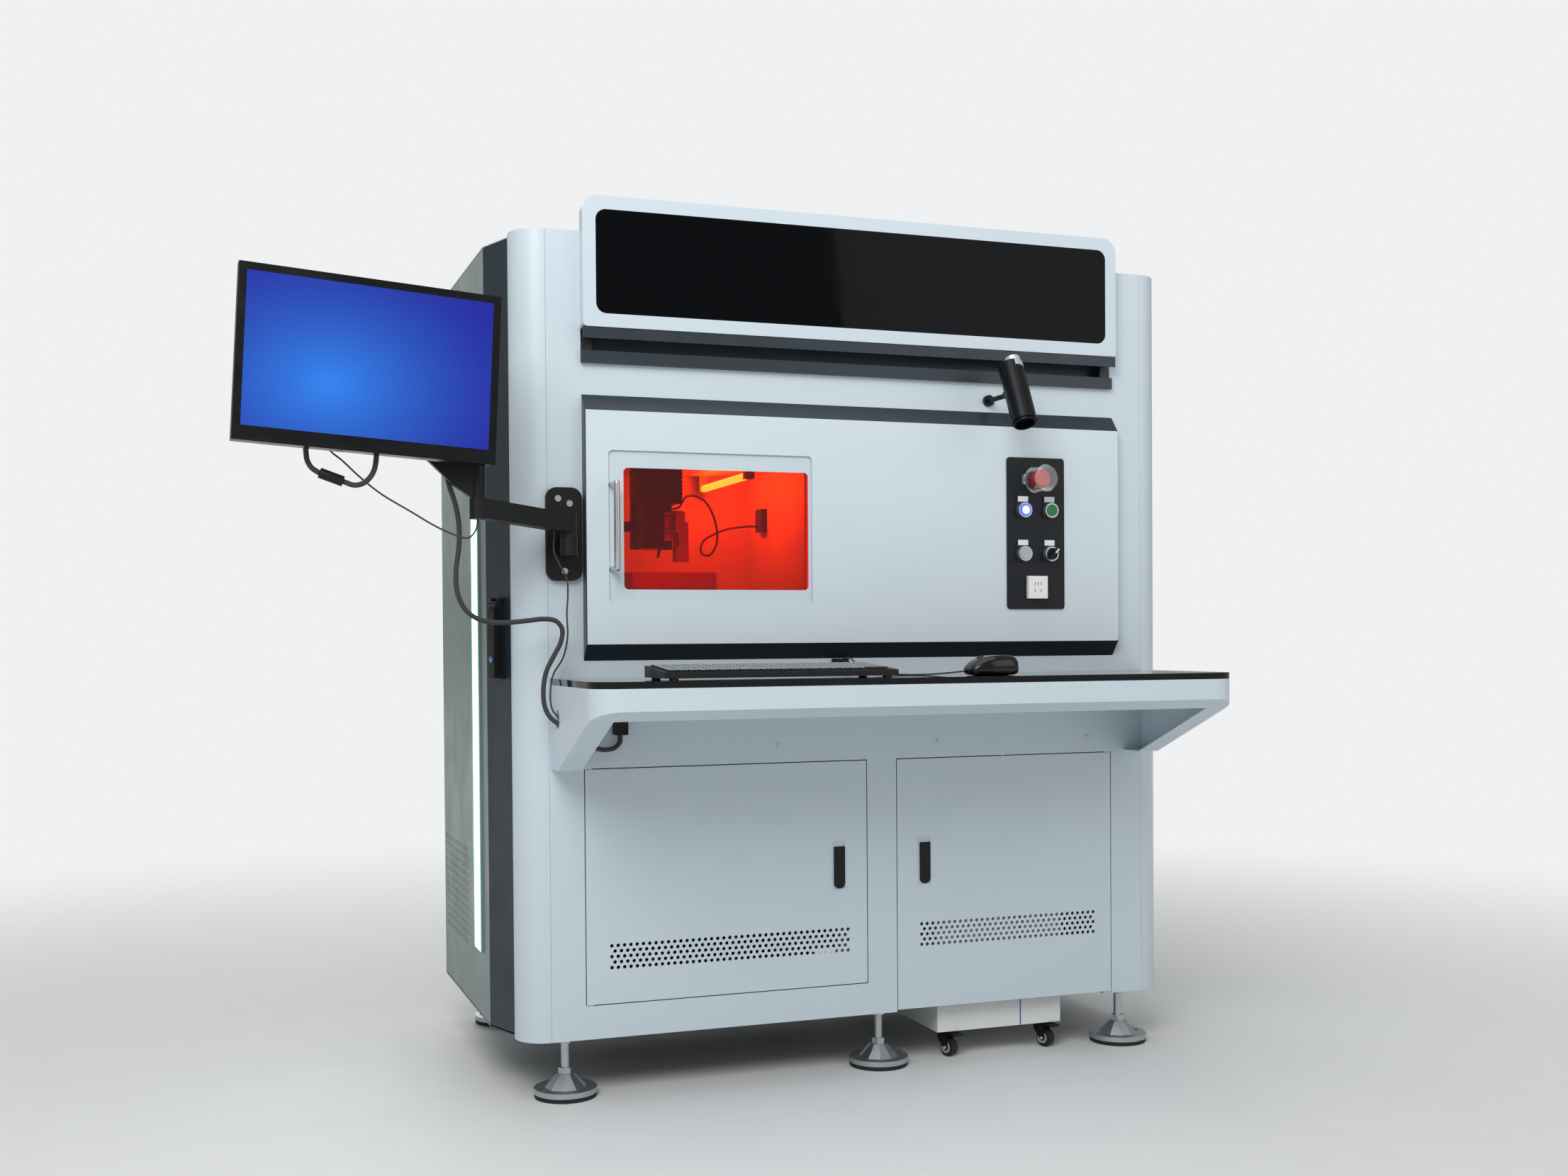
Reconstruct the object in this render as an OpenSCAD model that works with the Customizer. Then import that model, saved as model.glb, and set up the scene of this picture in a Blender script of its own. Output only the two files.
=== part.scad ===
// Laser cutting machine: free-standing cabinet with a glazed work chamber, a desk console,
// a wall-arm monitor and a water chiller on casters under the right bay.
// Each sub-part is drawn with x = 0 on the left column seam, y = 0 on the front plane and
// z = 0 on the floor, then moved so that the origin is the centre of the whole footprint.

/* [Cabinet] */
// Width of the flat front between the two corner columns
cab_w = 1275; // [1260:5:1350]
// Depth from the front plane to the rear panel
cab_d = 746; // [740:2:800]
// Height of the cabinet body
cab_h = 1520; // [1515:1:1560]
// Height of the cabinet's bottom edge above the floor
foot_h = 112; // [108:1:125]
// Thickness of the painted sheet steel
sheet = 2; // [1.5:0.1:2.5]
// Outer radius of the corner columns
column_r = 58; // [54:1:60]
// Distance from the column seam out to the flat side panel
side_out = 84; // [80:1:95]
// Distance from the column seam to the front edge of the side strip
strip_out = 54; // [50:1:56]
// Where the side strip starts behind the front plane
strip_y0 = 88; // [87:1:95]
// Where the side strip ends and the flat side panel starts
strip_y1 = 176; // [165:1:190]
// Depth of the folded edges of all doors
door_fold = 18; // [16:1:20]
// Gap around the lower doors
door_gap = 2; // [1.5:0.1:3]

/* [Steel frame] */
// Side of the square frame tubes
tube = 40; // [36:1:42]
// Distance of the outer tubes' centre lines from the column seams
frame_inset = 34; // [32:1:36]
// Middle post's centre from the left door's right edge
mid_post = 40; // [38:1:42]
// Distance of the front feet behind the front plane
foot_y0 = 40; // [38:1:44]
// Distance of the rear feet in front of the rear panel
foot_rear = 46; // [44:1:52]

/* [Levelling feet] */
// Diameter of the foot discs
foot_disc_d = 120; // [110:1:122]
// Diameter of the threaded rods
foot_rod_d = 16; // [14:1:18]
// Width across flats of the hexagon nuts
nut_w = 24; // [23:1:27]
// Height of a hexagon nut
nut_h = 12; // [10:1:13]
// Diameter of the two anchor holes in a disc
anchor_hole_d = 11; // [9:0.5:12]
// Distance between the two anchor holes in a disc
anchor_pitch = 92; // [88:1:94]
// Thickness of the rubber pads
pad_t = 8; // [6:1:10]

/* [Lower doors] */
// Left edge of the left door
ldoor_x = 68; // [67:0.5:70]
// Width of the left door
ldoor_w = 574; // [560:1:576]
// Height of the left door's lower edge above the cabinet's bottom edge
ldoor_z = 65; // [60:1:70]
// Width of the front between the lower doors
door_post = 67; // [65:1:68]
// Right door's edge from the right seam
rdoor_end = 74; // [73:1:80]
// Height of the right door's lower edge above the cabinet's bottom edge
rdoor_z = 4.3; // [4:0.1:6]
// Height of both doors' upper edges above the cabinet's bottom edge
door_top = 510; // [500:1:512]
// Diameter of a vent hole
vent_d = 7; // [6:0.5:8]
// Distance between vent holes along a row
vent_pitch = 12.4; // [12:0.1:12.6]
// Distance between vent rows
vent_row = 10.4; // [10:0.1:11]
// Width of a door latch
latch_w = 28; // [26:1:30]
// Height of a door latch
latch_h = 94; // [90:1:98]

/* [Protruding front panel] */
// Distance of the front panel from the column seams
panel_margin = 67.5; // [66:0.5:69]
// Height of the front panel's lower edge above the cabinet's bottom edge
panel_z = 715; // [712:1:720]
// Height of the front panel with its bevels
panel_h = 500; // [495:1:505]
// How far the front panel stands proud of the cabinet
panel_out = 24; // [22:1:28]
// Height of the sloped trims above and below the face
bevel_h = 31; // [28:1:34]

/* [Sliding window] */
// Distance of the window recess from the front panel's left edge
win_x = 44.5; // [42:0.5:46]
// Height of the window recess above the front panel's lower edge
win_z = 107; // [104:1:110]
// Width of the window recess
win_w = 409; // [400:1:412]
// Height of the window recess
win_h = 288; // [284:1:292]
// Corner radius of the recess and of the pane
win_r = 9; // [7:1:11]
// Door plate left of the pane
pane_left = 30; // [28:1:32]
// Door plate right of the pane
pane_right = 7; // [6:1:9]
// Door plate below the pane
pane_low = 27; // [25:1:29]
// Door plate above the pane
pane_high = 32; // [30:1:34]
// Thickness of the red pane
pane_t = 3; // [2.5:0.1:4]
// Length of the window handle between its legs
handle_l = 158; // [150:1:165]
// Diameter of the handle bar
handle_d = 12; // [10:0.5:13]
// How far the handle's centre line stands off the door plate
handle_out = 37; // [34:1:42]

/* [Control plate] */
// Distance of the control plate's centre from the right column seam
ctrl_right = 263; // [258:1:266]
// Height of the control plate's centre above the front panel's lower edge
ctrl_z = 252; // [248:1:256]
// Width of the control plate
ctrl_w = 132; // [128:1:136]
// Height of the control plate
ctrl_h = 310; // [305:1:315]
// Thickness of the control plate
ctrl_t = 3; // [2.5:0.5:4]
// Distance between the two button columns
btn_dx = 61; // [59:1:64]
// Distance between the two button rows
btn_dz = 89; // [86:1:92]
// Diameter of the mounting holes for buttons
btn_hole = 22; // [21.8:0.1:22.4]
// Diameter of the button bezels
bezel_d = 30.5; // [30:0.5:31]
// How far the bezels stand off the label holders
bezel_out = 12; // [11:0.5:14]
// Travel of a push button
btn_travel = 4; // [3:0.5:5]
// Diameter of the stop button's head
stop_d = 40; // [38:0.5:40]
// Height of the stop button's head above the plate
stop_out = 31; // [30:0.5:32]
// Outer diameter of the clear stop cover
cover_d = 55; // [54.5:0.5:57]
// Height of the clear stop cover above the plate
cover_out = 44; // [43:0.5:48]
// Width of the mains socket
socket_w = 44; // [42:1:46]
// Height of the mains socket
socket_h = 46; // [44:1:48]

/* [Sign and louvre] */
// Width of the sign housing
sign_w = 1137; // [1120:1:1150]
// Height of the sign housing
sign_h = 244; // [238:1:250]
// Depth of the sign housing
sign_out = 26; // [24:1:30]
// Radius of the housing's upper corners
sign_r = 30; // [26:1:34]
// Width of the visible housing around the sign glass
sign_rim = 25; // [23:1:28]
// Height of the sign's lower edge above the cabinet's bottom edge
sign_z = 1339; // [1337:1:1345]
// Height of the louvre's lower edge above the cabinet's bottom edge
louvre_z = 1274; // [1272:1:1278]
// Height of a louvre fin
fin_h = 21; // [19:1:23]

/* [Console] */
// Left edge of the console
shelf_x = 3; // [2:0.5:5]
// Width of the console
shelf_w = 1276; // [1266:1:1282]
// Depth of the console
shelf_d = 345; // [335:1:360]
// Radius of the console's front corners
shelf_r = 50; // [40:1:60]
// Height of the glass top above the floor
shelf_top = 795; // [790:1:800]
// Thickness of the glass top
glass_t = 12; // [10:1:13]
// Height of the console's apron
apron_h = 39; // [36:1:44]
// Height of the console's lowest edge above the floor
shelf_low = 626; // [625:1:632]
// Depth of the console's side cheeks at their lowest edge
cheek_d = 59; // [54:1:64]
// Width of the console's folded lower edge
shelf_fold = 45; // [40:1:50]

/* [Monitor and arm] */
// Width of the monitor's picture
screen_w = 408; // [396:1:414]
// Height of the monitor's picture
screen_h = 255; // [248:1:259]
// Width of the monitor's side and top bezels
mon_rim = 13; // [11:0.5:15]
// Height of the monitor's lower bezel
mon_chin = 24.6; // [22:0.2:27]
// Thickness of the monitor at its edges
mon_edge = 22; // [20:1:24]
// Thickness of the monitor at its centre
mon_t = 38; // [35:1:40]
// Distance of the picture's centre left of the column seam
mon_x = 341; // [335:1:350]
// Distance of the picture's centre before the front plane
mon_y = 214; // [213:1:220]
// Height of the picture's centre above the floor
mon_z = 1332; // [1328:1:1340]
// Turn of the monitor about the vertical
mon_turn = 4.4; // [3:0.1:5]
// Backward lean of the monitor
mon_lean = 3; // [1:0.5:4]
// Sideways slope of the monitor on its arm
mon_roll = 3.5; // [2:0.5:4]
// Width of the arm's wall plate
wall_plate_w = 68; // [66:1:70]
// Height of the arm's wall plate
wall_plate_h = 174; // [170:1:180]
// Length of the arm's swinging link between its two axes
link_l = 210; // [205:1:214]
// Angle of the link from the front plane, seen from above
link_turn = 29; // [27:1:31]
// Upward slope of the link
link_slope = 4.4; // [3:0.1:5]

/* [Work light] */
// Distance of the light's wall stud from the right column seam
lamp_right = 358; // [350:1:362]
// Height of the light's wall stud above the floor
lamp_z = 1350; // [1346:1:1354]
// Length of the light's arm
lamp_arm_l = 88; // [84:1:96]
// Diameter of the light's body
lamp_d = 50; // [46:1:52]
// Length of the light's body
lamp_l = 137; // [130:1:142]
// Forward tilt of the light's beam
lamp_tilt = 26; // [22:1:30]

/* [Work chamber] */
// Distance of the chamber's left wall from the column seam
cham_x = 76; // [72:1:80]
// Inner width of the chamber
cham_w = 544; // [540:1:560]
// Inner depth of the chamber
cham_d = 648; // [640:1:660]
// Height of the chamber's floor above the floor
cham_z = 905; // [900:1:908]
// Inner height of the chamber
cham_h = 340; // [338:1:344]

/* [Chiller] */
// Width of the chiller
chill_w = 286; // [276:1:296]
// Depth of the chiller
chill_d = 560; // [540:1:580]
// Height of the chiller's case
chill_h = 510; // [480:1:520]
// Chiller's left side from the middle post's centre
chill_gap = 129; // [120:1:145]
// Front of the chiller behind the front plane
chill_y = 32; // [30:1:40]
// Height of the chiller's case above the floor
chill_z = 54; // [52:1:58]
// Diameter of the caster wheels
wheel_d = 36; // [34:1:38]
// Width of the caster wheels
wheel_w = 16; // [14:1:18]

/* [Hidden] */
rdoor_x = ldoor_x + ldoor_w + door_post;
rdoor_w = cab_w - rdoor_end - rdoor_x;
frame_mid_x = ldoor_x + ldoor_w + mid_post;
chill_x = frame_mid_x + chill_gap;
lvent_x = 49;
rvent_x = 53;
lvent_n = floor((ldoor_w - lvent_x * 1.5) / vent_pitch);
rvent_n = floor((rdoor_w - rvent_x * 1.5) / vent_pitch);
$fn = 48;

// Common clearances and the overrun of every cut
eps = 1;
seat = 0.3;
run = 0.05;
seam = 0.3;

// Colours
white_paint = "#CDD7DC";
slate_paint = "#36434C";
silver_paint = "#9AA8A8";
black_plastic = "#15171A";
steel_colour = "#A9AEB2";

// Cabinet levels
z_low = foot_h;
z_high = foot_h + cab_h;

// Side light strip
strip_w = 100;
strip_t = 5;
strip_y = 238;
strip_margin = 134;

// Monitor outline and the whole footprint's extent
mon_w = screen_w + 2 * mon_rim;
mon_h = screen_h + mon_rim + mon_chin;
lever_out = 22;
reach_left = mon_x + (mon_w / 2) * cos(mon_turn) * cos(mon_roll) + (mon_h / 2) * sin(mon_roll);
reach_right = cab_w + side_out + strip_t;
centre_x = (reach_right - reach_left) / 2;
centre_y = (cab_d - shelf_d) / 2;

// Frame
rear_foot_y = cab_d - foot_rear;
frame_z = z_low + sheet;
frame_x1 = cab_w - frame_inset;
deck_rail_share = [0.17, 0.87];
front_tube_d = foot_y0 + tube / 2 - sheet;

// Lower door hinges: pin radius, depth of the axis and its distance from the door's edge
pin_r = 3;
pin_y = 6.5;
pin_x = 9;
pin_l = 9;
bracket_h = 13;
bracket_d = 12;

// Side doors
side_pin_r = 4;
side_pin_in = 8;
side_gap = 2.3;
column_gap = 3.3;
column_y1 = strip_y0 - column_gap;
side_y1 = cab_d - sheet - side_gap;
side_pin_y = side_y1 - side_pin_in;
strip_run = [strip_out - side_out, strip_y1 - strip_y0];
strip_dir = strip_run / norm(strip_run);
strip_in = [strip_dir[1], -strip_dir[0]];

// Front panel and window door
face_x0 = panel_margin + sheet;
face_x1 = cab_w - panel_margin - sheet;
face_z0 = z_low + panel_z + bevel_h;
face_z1 = z_low + panel_z + panel_h - bevel_h;
win_x0 = panel_margin + win_x;
win_z0 = z_low + panel_z + win_z;
door_lap = 12;
door_front = panel_out - 2 * sheet;
guide_d = 8;
guide_h = 16;
guide_grip = 8;
groove_clear = 0.5;
win_travel = win_w - 2 * handle_d;
pane_lap = 6;
handle_in = 7.5;

// Control plate
ctrl_x = cab_w - ctrl_right;
ctrl_zc = z_low + panel_z + ctrl_z;
ctrl_r = 7;
stop_drop = 45;
row1_drop = 108;
socket_drop = 265.5;
ctrl_top = ctrl_zc + ctrl_h / 2;
stop_z = ctrl_top - stop_drop;
row1_z = ctrl_top - row1_drop;
row2_z = row1_z - btn_dz;
socket_z = ctrl_top - socket_drop;
ctrl_front = panel_out + ctrl_t;
holder_w = 30;
holder_h = 46;
holder_t = 1.5;
holder_low = 16;
label_w = 23;
label_h = 11;
label_t = 0.6;
label_up = 23;
barrel_l = 20;
contact_w = 28;
contact_d = 30;
cap_r = 11.8;
bezel_in_r = 12;
cap_out = 1.5;
stem_r = 6;
stop_collar_t = 4;
cover_t = 1.6;
cover_pin_y = 7;
cover_pin_r = 1.5;
cover_tab = 10;
cover_tab_t = 5;
cover_ear_r = 2.2;
socket_t = 9;
slot_t = 1.6;
slot_l = 7;
slot_depth = 6;

// Sign
sign_x = 66;
sign_zc = z_low + sign_z;
sign_low_r = 8;
sign_face_t = 6;
sign_glass_t = 4;
sign_glass_r = 20;
sign_wire_r = 10;
fin_t = 2;
upper_fin_out = 24;
lower_fin_out = 10;
louvre_zc = z_low + louvre_z;
louvre_h = sign_z - louvre_z - seat;
louvre_depth = 28;
louvre_side = 22;

// Console
shelf_glass_z = shelf_top - glass_t;
apron_z = shelf_glass_z - apron_h;
back_lift = 10;
screw_r = 4;
screw_t = 2.5;
shelf_screw_x = 110;
shelf_screw_pitch = 345;
shelf_screw_n = 4;
shelf_screw_up = 31;
cable_hole_h = 36;
cable_hole_w = 28;
cable_hole_y = 61;
cable_hole_z = 721;

// Arm
wall_plate_x = 30;
wall_plate_z = 1064;
wall_plate_t = 12;
wall_plate_r = 20;
wall_screw_r = 6;
wall_screw_z = [66, 57, -69];
wall_screw_x = [-12, 10, 0];
knuckle_r = 16;
knuckle_y = 48;
knuckle_h = 32;
knuckle_z = 1022;
knuckle_web = 24;
link_w = 30;
link_h = 34;
link_end_r = 15;
link_rise = 27;
arm_pin_r = 5;
arm_pin_l = 26;
hub_x = wall_plate_x - link_l * cos(link_turn);
hub_y = -knuckle_y - link_l * sin(link_turn);
link_z0 = knuckle_z + knuckle_h + seat;
hub_z1 = link_z0 + link_rise + link_l * sin(link_slope) + link_h / 2;
post_r = 11;
post_h = 62;
riser_t = 14;
riser_w = 60;
riser_low = 20;
vesa_pitch = 75;
vesa_w = 100;
vesa_t = 3;
vesa_hole_r = 2.25;
tilt_back = 50.4;
tilt_r = 6;
tilt_pin_r = 3;
tilt_w = 40;
ear_t = 8;
mon_back_w = 220;
mon_back_h = 160;
screen_t = 1.5;

// Work light
lamp_x = cab_w - lamp_right;
lamp_stud_r = 11.5;
lamp_stud_t = 8;
lamp_arm_r = 5;
lamp_wall = 3;
lamp_ring_t = 5;
lamp_ring_in = 3;
lamp_gap = 0.8;
lamp_drop = 22;
lamp_neck_r = 15.5;
lamp_neck_l = 18;
lamp_neck_off = 8;
lamp_lens_in = 14;
lamp_lens_t = 3;
lamp_eye_r = 8;
lamp_eye_w = 9;
lamp_fork_t = 4;
lamp_pin_r = 3;

// Chamber fittings
cham_wall = 2;
tube_r = 8;
tube_x = 422;
tube_y0 = 282;
tube_y1 = 628;
tube_drop = 30;
holder_l = 18;
outlet_w = 43;
outlet_h = 52;
outlet_t = 14;
outlet_y = 538;
outlet_up = 233;
bed_t = 30;
bed_margin = 24;
bed_y0 = 120;
bed_y1 = 600;
rail_w = 20;
rail_h = 12;
saddle_t = 22;
table_x = 310;
table_y = 300;
table_w = 180;
table_d = 170;
table_t = 27;
table_gap = 8;
zaxis_x = 307;
zaxis_w = 88;
zaxis_beam_up = 193;
zaxis_y = 372;
zaxis_plate_t = 20;
bellows_d = 74;
bellows_h = 92;
carriage_x = 269;
carriage_w = 44;
carriage_h = 93;
head_w = 53;
head_plate_t = 8;
optic_x = 338;
optic_w = 28;
optic_d = 24;
optic_h = 108;
optic_notch = 34;
clamp_r = 6;
clamp_x = 306;
clamp_z = 191;
clamp_step = 36;
nozzle_l = 58;
nozzle_r = 2.5;
nozzle_tilt = 10;

// Chiller
caster_in_x = 30;
caster_in_y = 28;
swivel = 20;
caster_plate = 34;
caster_plate_t = 2.5;
fork_t = 2.5;
fork_trail = 12;
fork_gap = 1;
axle_r = 3;
wheel_lift = 0.3;
wheel_z = wheel_d / 2 + wheel_lift;
stem_l = 8;
brake_l = 24;
brake_t = 3;
rear_bracket_w = 26;

// Desk items
kb_x = 142;
kb_y = 290;
kb_w = 442;
kb_d = 132;
kb_front_h = 14;
kb_rear_h = 24;
kb_foot = 3;
key_pitch = 19;
key_w = 16.5;
key_h = 4;
key_cols = 22;
key_rows = 6;
kb_rim = 9;
mouse_x = 786;
mouse_y = 262;
mouse_l = 102;
mouse_w = 60;
mouse_h = 38;

// Side handle
lever_w = 22;
lever_base_w = 28;
lever_l = 155;
lever_z = 793;
lever_off = 11;
lever_base_t = 8;
lever_pin_r = 3;
lever_pin_x = 14.5;
lever_pin_drop = 12;
lever_pin_z = lever_l - lever_pin_drop;
lever_head_r = 5.9;
lever_neck = 13;
lock_r = 7;
lock_t = 0.8;
lock_z = 38;

// Side vents
slot_rows = 12;
slot_cols = 16;
slot_row_h = 17.5;
slot_col_w = 19.6;
side_slot_w = 6;
side_slot_h = 12;
side_slot_y = 426;
side_slot_z = 118;

// Cable routes: chosen points, x right, y back, z up
main_r = 4.5;
thin_r = 1.6;
main_route = [[-206, -137, 1156], [-200, -137, 1132], [-190, -134, 1102], [-184, -128, 1068],
  [-183, -120, 1032], [-187, -112, 992], [-185, -106, 955], [-172, -99, 925], [-148, -92, 906],
  [-118, -85, 899], [-86, -79, 899], [-54, -73, 902], [-24, -68, 905], [0, -64, 902], [13, -62, 886],
  [10, -61, 862], [-2, -59, 838], [-16, -58, 810], [-22, -58, 778], [-20, -58, 746], [-8, -59, 723],
  [16, -60, 706], [48, -54, 683], [82, -38, 664], [114, -20, 661], [131, -14, 671], [133, -14, 687]];
loop_route = [[-446, -189, 1255.6], [-446, -190, 1226], [-446, -190, 1188], [-442, -188, 1164],
  [-426, -187, 1149], [-384, -187, 1134], [-366, -187, 1129], [-348, -188, 1136], [-334, -189, 1158],
  [-330, -190, 1200], [-330, -189, 1249]];
thin_route = [[-420, -186, 1254.2], [-418, -186, 1205], [-404, -184, 1184], [-386, -181, 1170],
  [-356, -175, 1143], [-320, -168, 1116], [-272, -161, 1089], [-228, -157, 1064], [-190, -154, 1048],
  [-170, -151, 1046], [-158, -150, 1060], [-154, -150, 1078]];
drop_route = [[2, -54, 1066], [1, -53, 1030], [12, -49, 1006], [26, -46, 980], [28, -45, 950],
  [26, -44, 915], [27, -44, 872], [18, -45, 834], [-2, -49, 802], [-8, -52, 764], [-4, -54, 737],
  [12, -56, 720]];
keys_route = [[560, -157.3, 808], [562, -140, 818], [568, -100, 828], [574, -50, 826], [580, -9, 820]];
mouse_route = [[733, -258, 803], [690, -200, 797], [640, -150, 797], [600, -60, 806], [592, -9, 820]];
head_route = [[330, 314, 1140.7], [352, 325, 1146.5], [362, 332, 1158], [376, 344, 1172], [404, 362, 1174], [434, 382, 1160],
  [458, 402, 1124], [468, 420, 1082], [456, 434, 1053], [438, 442, 1058], [448, 450, 1086],
  [500, 470, 1110], [556, 510, 1121], [594, 538, 1125], [612, 538, 1125]];
ferrite_r = 9;
ferrite_share = 0.04;
outlet_box = [34, 20, 13];
feed_box = [24, 28, 34];

// Helpers

module placed() {
  translate([-centre_x, -centre_y, 0]) children();
}

// Plate standing in the front plane, drawn as x and z, from y0 towards the rear
module upright(y0, t) {
  translate([0, y0 + t, 0]) rotate([90, 0, 0]) linear_extrude(t) children();
}

// Profile drawn as y and z, run along x
module along_x(x0, l) {
  translate([x0, 0, 0]) rotate([90, 0, 90]) linear_extrude(l) children();
}

// Rectangle with round corners of one radius
module round_rect(x0, z0, w, h, r) {
  translate([x0 + r, z0]) square([w - 2 * r, h]);
  translate([x0, z0 + r]) square([w, h - 2 * r]);
  for (x = [x0 + r, x0 + w - r], z = [z0 + r, z0 + h - r]) translate([x, z]) circle(r);
}

// Rectangle with a large radius above and a small one below
module sign_outline(x0, z0, w, h, ru, rl) {
  translate([x0 + ru, z0]) square([w - 2 * ru, h]);
  translate([x0, z0 + rl]) square([w, h - rl - ru]);
  translate([x0 + rl, z0]) square([w - 2 * rl, h - ru]);
  for (x = [x0 + ru, x0 + w - ru]) translate([x, z0 + h - ru]) circle(ru);
  for (x = [x0 + rl, x0 + w - rl]) translate([x, z0 + rl]) circle(rl);
}

module rod_z(x, y, z, r, h) {
  translate([x, y, z]) cylinder(r = r, h = h);
}

// Round bar along y from y0 to y1
module rod_y(x, z, y0, y1, r) {
  translate([x, y1, z]) rotate([90, 0, 0]) cylinder(r = r, h = y1 - y0);
}

// Round bar along x from x0 to x1
module rod_x(y, z, x0, x1, r) {
  translate([x0, y, z]) rotate([0, 90, 0]) cylinder(r = r, h = x1 - x0);
}

module box(x0, x1, y0, y1, z0, z1) {
  translate([x0, y0, z0]) cube([x1 - x0, y1 - y0, z1 - z0]);
}

// Swept tube of n sides along points, with rings square to the run
function unit(v) = v / norm(v);
function run_dir(p, i) = unit(p[min(i + 1, len(p) - 1)] - p[max(i - 1, 0)]);
function ring(c, d, r, n, side) = let (a = unit(cross(d, side)), b = cross(d, a))
  [for (k = [0:n - 1]) c + r * (cos(360 * k / n) * a + sin(360 * k / n) * b)];
module swept(p, r, n, side = [0, 1, 0]) {
  rings = [for (i = [0:len(p) - 1]) each ring(p[i], run_dir(p, i), r, n, side)];
  last = (len(p) - 1) * n;
  walls = [for (i = [0:len(p) - 2], k = [0:n - 1]) each
    [[i * n + k, (i + 1) * n + k, i * n + (k + 1) % n],
      [i * n + (k + 1) % n, (i + 1) * n + k, (i + 1) * n + (k + 1) % n]]];
  ends = [[for (k = [0:n - 1]) k], [for (k = [n - 1:-1:0]) last + k]];
  polyhedron(points = rings, faces = concat(walls, ends));
}

/* Steel frame with the left bay's floor */
module base_frame() {
  color(slate_paint) placed() difference() {
    union() {
      for (x = [frame_inset, frame_mid_x, frame_x1]) {
        box(x - tube / 2, x + tube / 2, sheet, rear_foot_y + tube / 2, frame_z, frame_z + tube);
        top = x == frame_mid_x ? cham_z - cham_wall : z_high - sheet;
        box(x - tube / 2, x + tube / 2, sheet, foot_y0 + tube / 2, frame_z, top);
        box(x - tube / 2, x + tube / 2, rear_foot_y - tube / 2, rear_foot_y + tube / 2, frame_z, top);
      }
      box(frame_inset, frame_mid_x, sheet, foot_y0 + tube / 2, frame_z, frame_z + tube);
      box(frame_inset, frame_x1, rear_foot_y - tube / 2, rear_foot_y + tube / 2, frame_z, frame_z + tube);
      for (s = deck_rail_share)
        box(frame_inset, frame_mid_x, cham_d * s - tube / 2, cham_d * s + tube / 2,
          cham_z - cham_wall - tube, cham_z - cham_wall);
      for (x = [frame_inset, frame_mid_x])
        box(x - tube / 2, x + tube / 2, foot_y0, rear_foot_y,
          cham_z - cham_wall - tube, cham_z - cham_wall);
      for (y = [foot_y0, rear_foot_y])
        box(frame_inset, frame_x1, y - tube / 2, y + tube / 2, z_high - sheet - tube, z_high - sheet);
      box(frame_inset, frame_mid_x, foot_y0, rear_foot_y, frame_z + tube, frame_z + tube + sheet);
    }
    for (x = [frame_inset, frame_mid_x, frame_x1], y = [foot_y0, rear_foot_y])
      rod_z(x, y, frame_z - eps, foot_rod_d / 2 + run, tube / 2 + eps);
  }
}

// One hinge pin with its bracket, welded behind the fascia beside a door opening
module door_pin(x, side, z, up) {
  zb = up ? z : z - bracket_h;
  post_x = side < 0 ? frame_inset + tube / 2 : frame_x1 - tube / 2;
  far_x = x - side * (pin_r + sheet);
  box(min(post_x, far_x), max(post_x, far_x), sheet, sheet + bracket_d, zb, zb + bracket_h);
  rod_z(x, pin_y, up ? z - pin_l : z - eps, pin_r, pin_l + eps);
}

module hinge_pins() {
  lx = ldoor_x + pin_x;
  rx = rdoor_x + rdoor_w - pin_x;
  color(steel_colour) placed() {
    door_pin(lx, -1, z_low + door_top + seat, true);
    door_pin(lx, -1, z_low + ldoor_z - seat, false);
    door_pin(rx, 1, z_low + door_top + seat, true);
    box(rx - pin_x, frame_x1 - tube / 2, sheet, pin_y + pin_x, z_low, z_low + rdoor_z - seat);
    rod_z(rx, pin_y, z_low + rdoor_z - sheet, pin_r, pin_l);
    for (m = [0, 1]) side_mirror(m) for (top = [0, 1]) {
      z = top ? z_high - sheet - side_gap - pin_l : z_low + sheet;
      rod_z(side_pin_in - side_out, side_pin_y, z, side_pin_r, pin_l + side_gap);
    }
  }
}

// Draws children as given for the left side, or mirrored for the right side
module side_mirror(m) {
  if (m) translate([cab_w, 0, 0]) mirror([1, 0, 0]) children();
  else children();
}

/* Painted front sheet with all its openings */
module front_fascia() {
  color(white_paint) placed() upright(0, sheet) difference() {
    translate([seam, z_low]) square([cab_w - 2 * seam, cab_h - sheet]);
    translate([ldoor_x - door_gap, z_low + ldoor_z - door_gap])
      square([ldoor_w + 2 * door_gap, door_top - ldoor_z + 2 * door_gap]);
    translate([rdoor_x - door_gap, z_low - eps])
      square([rdoor_w + 2 * door_gap, door_top + door_gap + eps]);
    round_rect(win_x0 + pane_left - pane_lap, win_z0 + pane_low - pane_lap,
      win_w - pane_left - pane_right + pane_lap, win_h - pane_low - pane_high + 2 * pane_lap, win_r);
    translate([ctrl_x - ctrl_w / 2 + ctrl_r, ctrl_zc - ctrl_h / 2 + ctrl_r])
      square([ctrl_w - 2 * ctrl_r, ctrl_h - 2 * ctrl_r]);
    translate([sign_x + louvre_side, louvre_zc + fin_t])
      square([sign_w - 2 * louvre_side, louvre_h - 2 * fin_t]);
  }
}

// Cross-section of a corner column as a closed hollow profile
module column_profile() {
  difference() {
    intersection() {
      translate([0, column_r]) circle(column_r);
      translate([-column_r, 0]) square([column_r - seam / 2, column_y1]);
    }
    intersection() {
      translate([0, column_r]) circle(column_r - sheet);
      translate([-column_r, sheet]) square([column_r - sheet - seam, column_y1 - 2 * sheet]);
    }
  }
}

module corner_columns() {
  color(white_paint) placed() for (m = [0, 1]) side_mirror(m)
    translate([0, 0, z_low]) linear_extrude(cab_h - sheet) column_profile();
}

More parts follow.
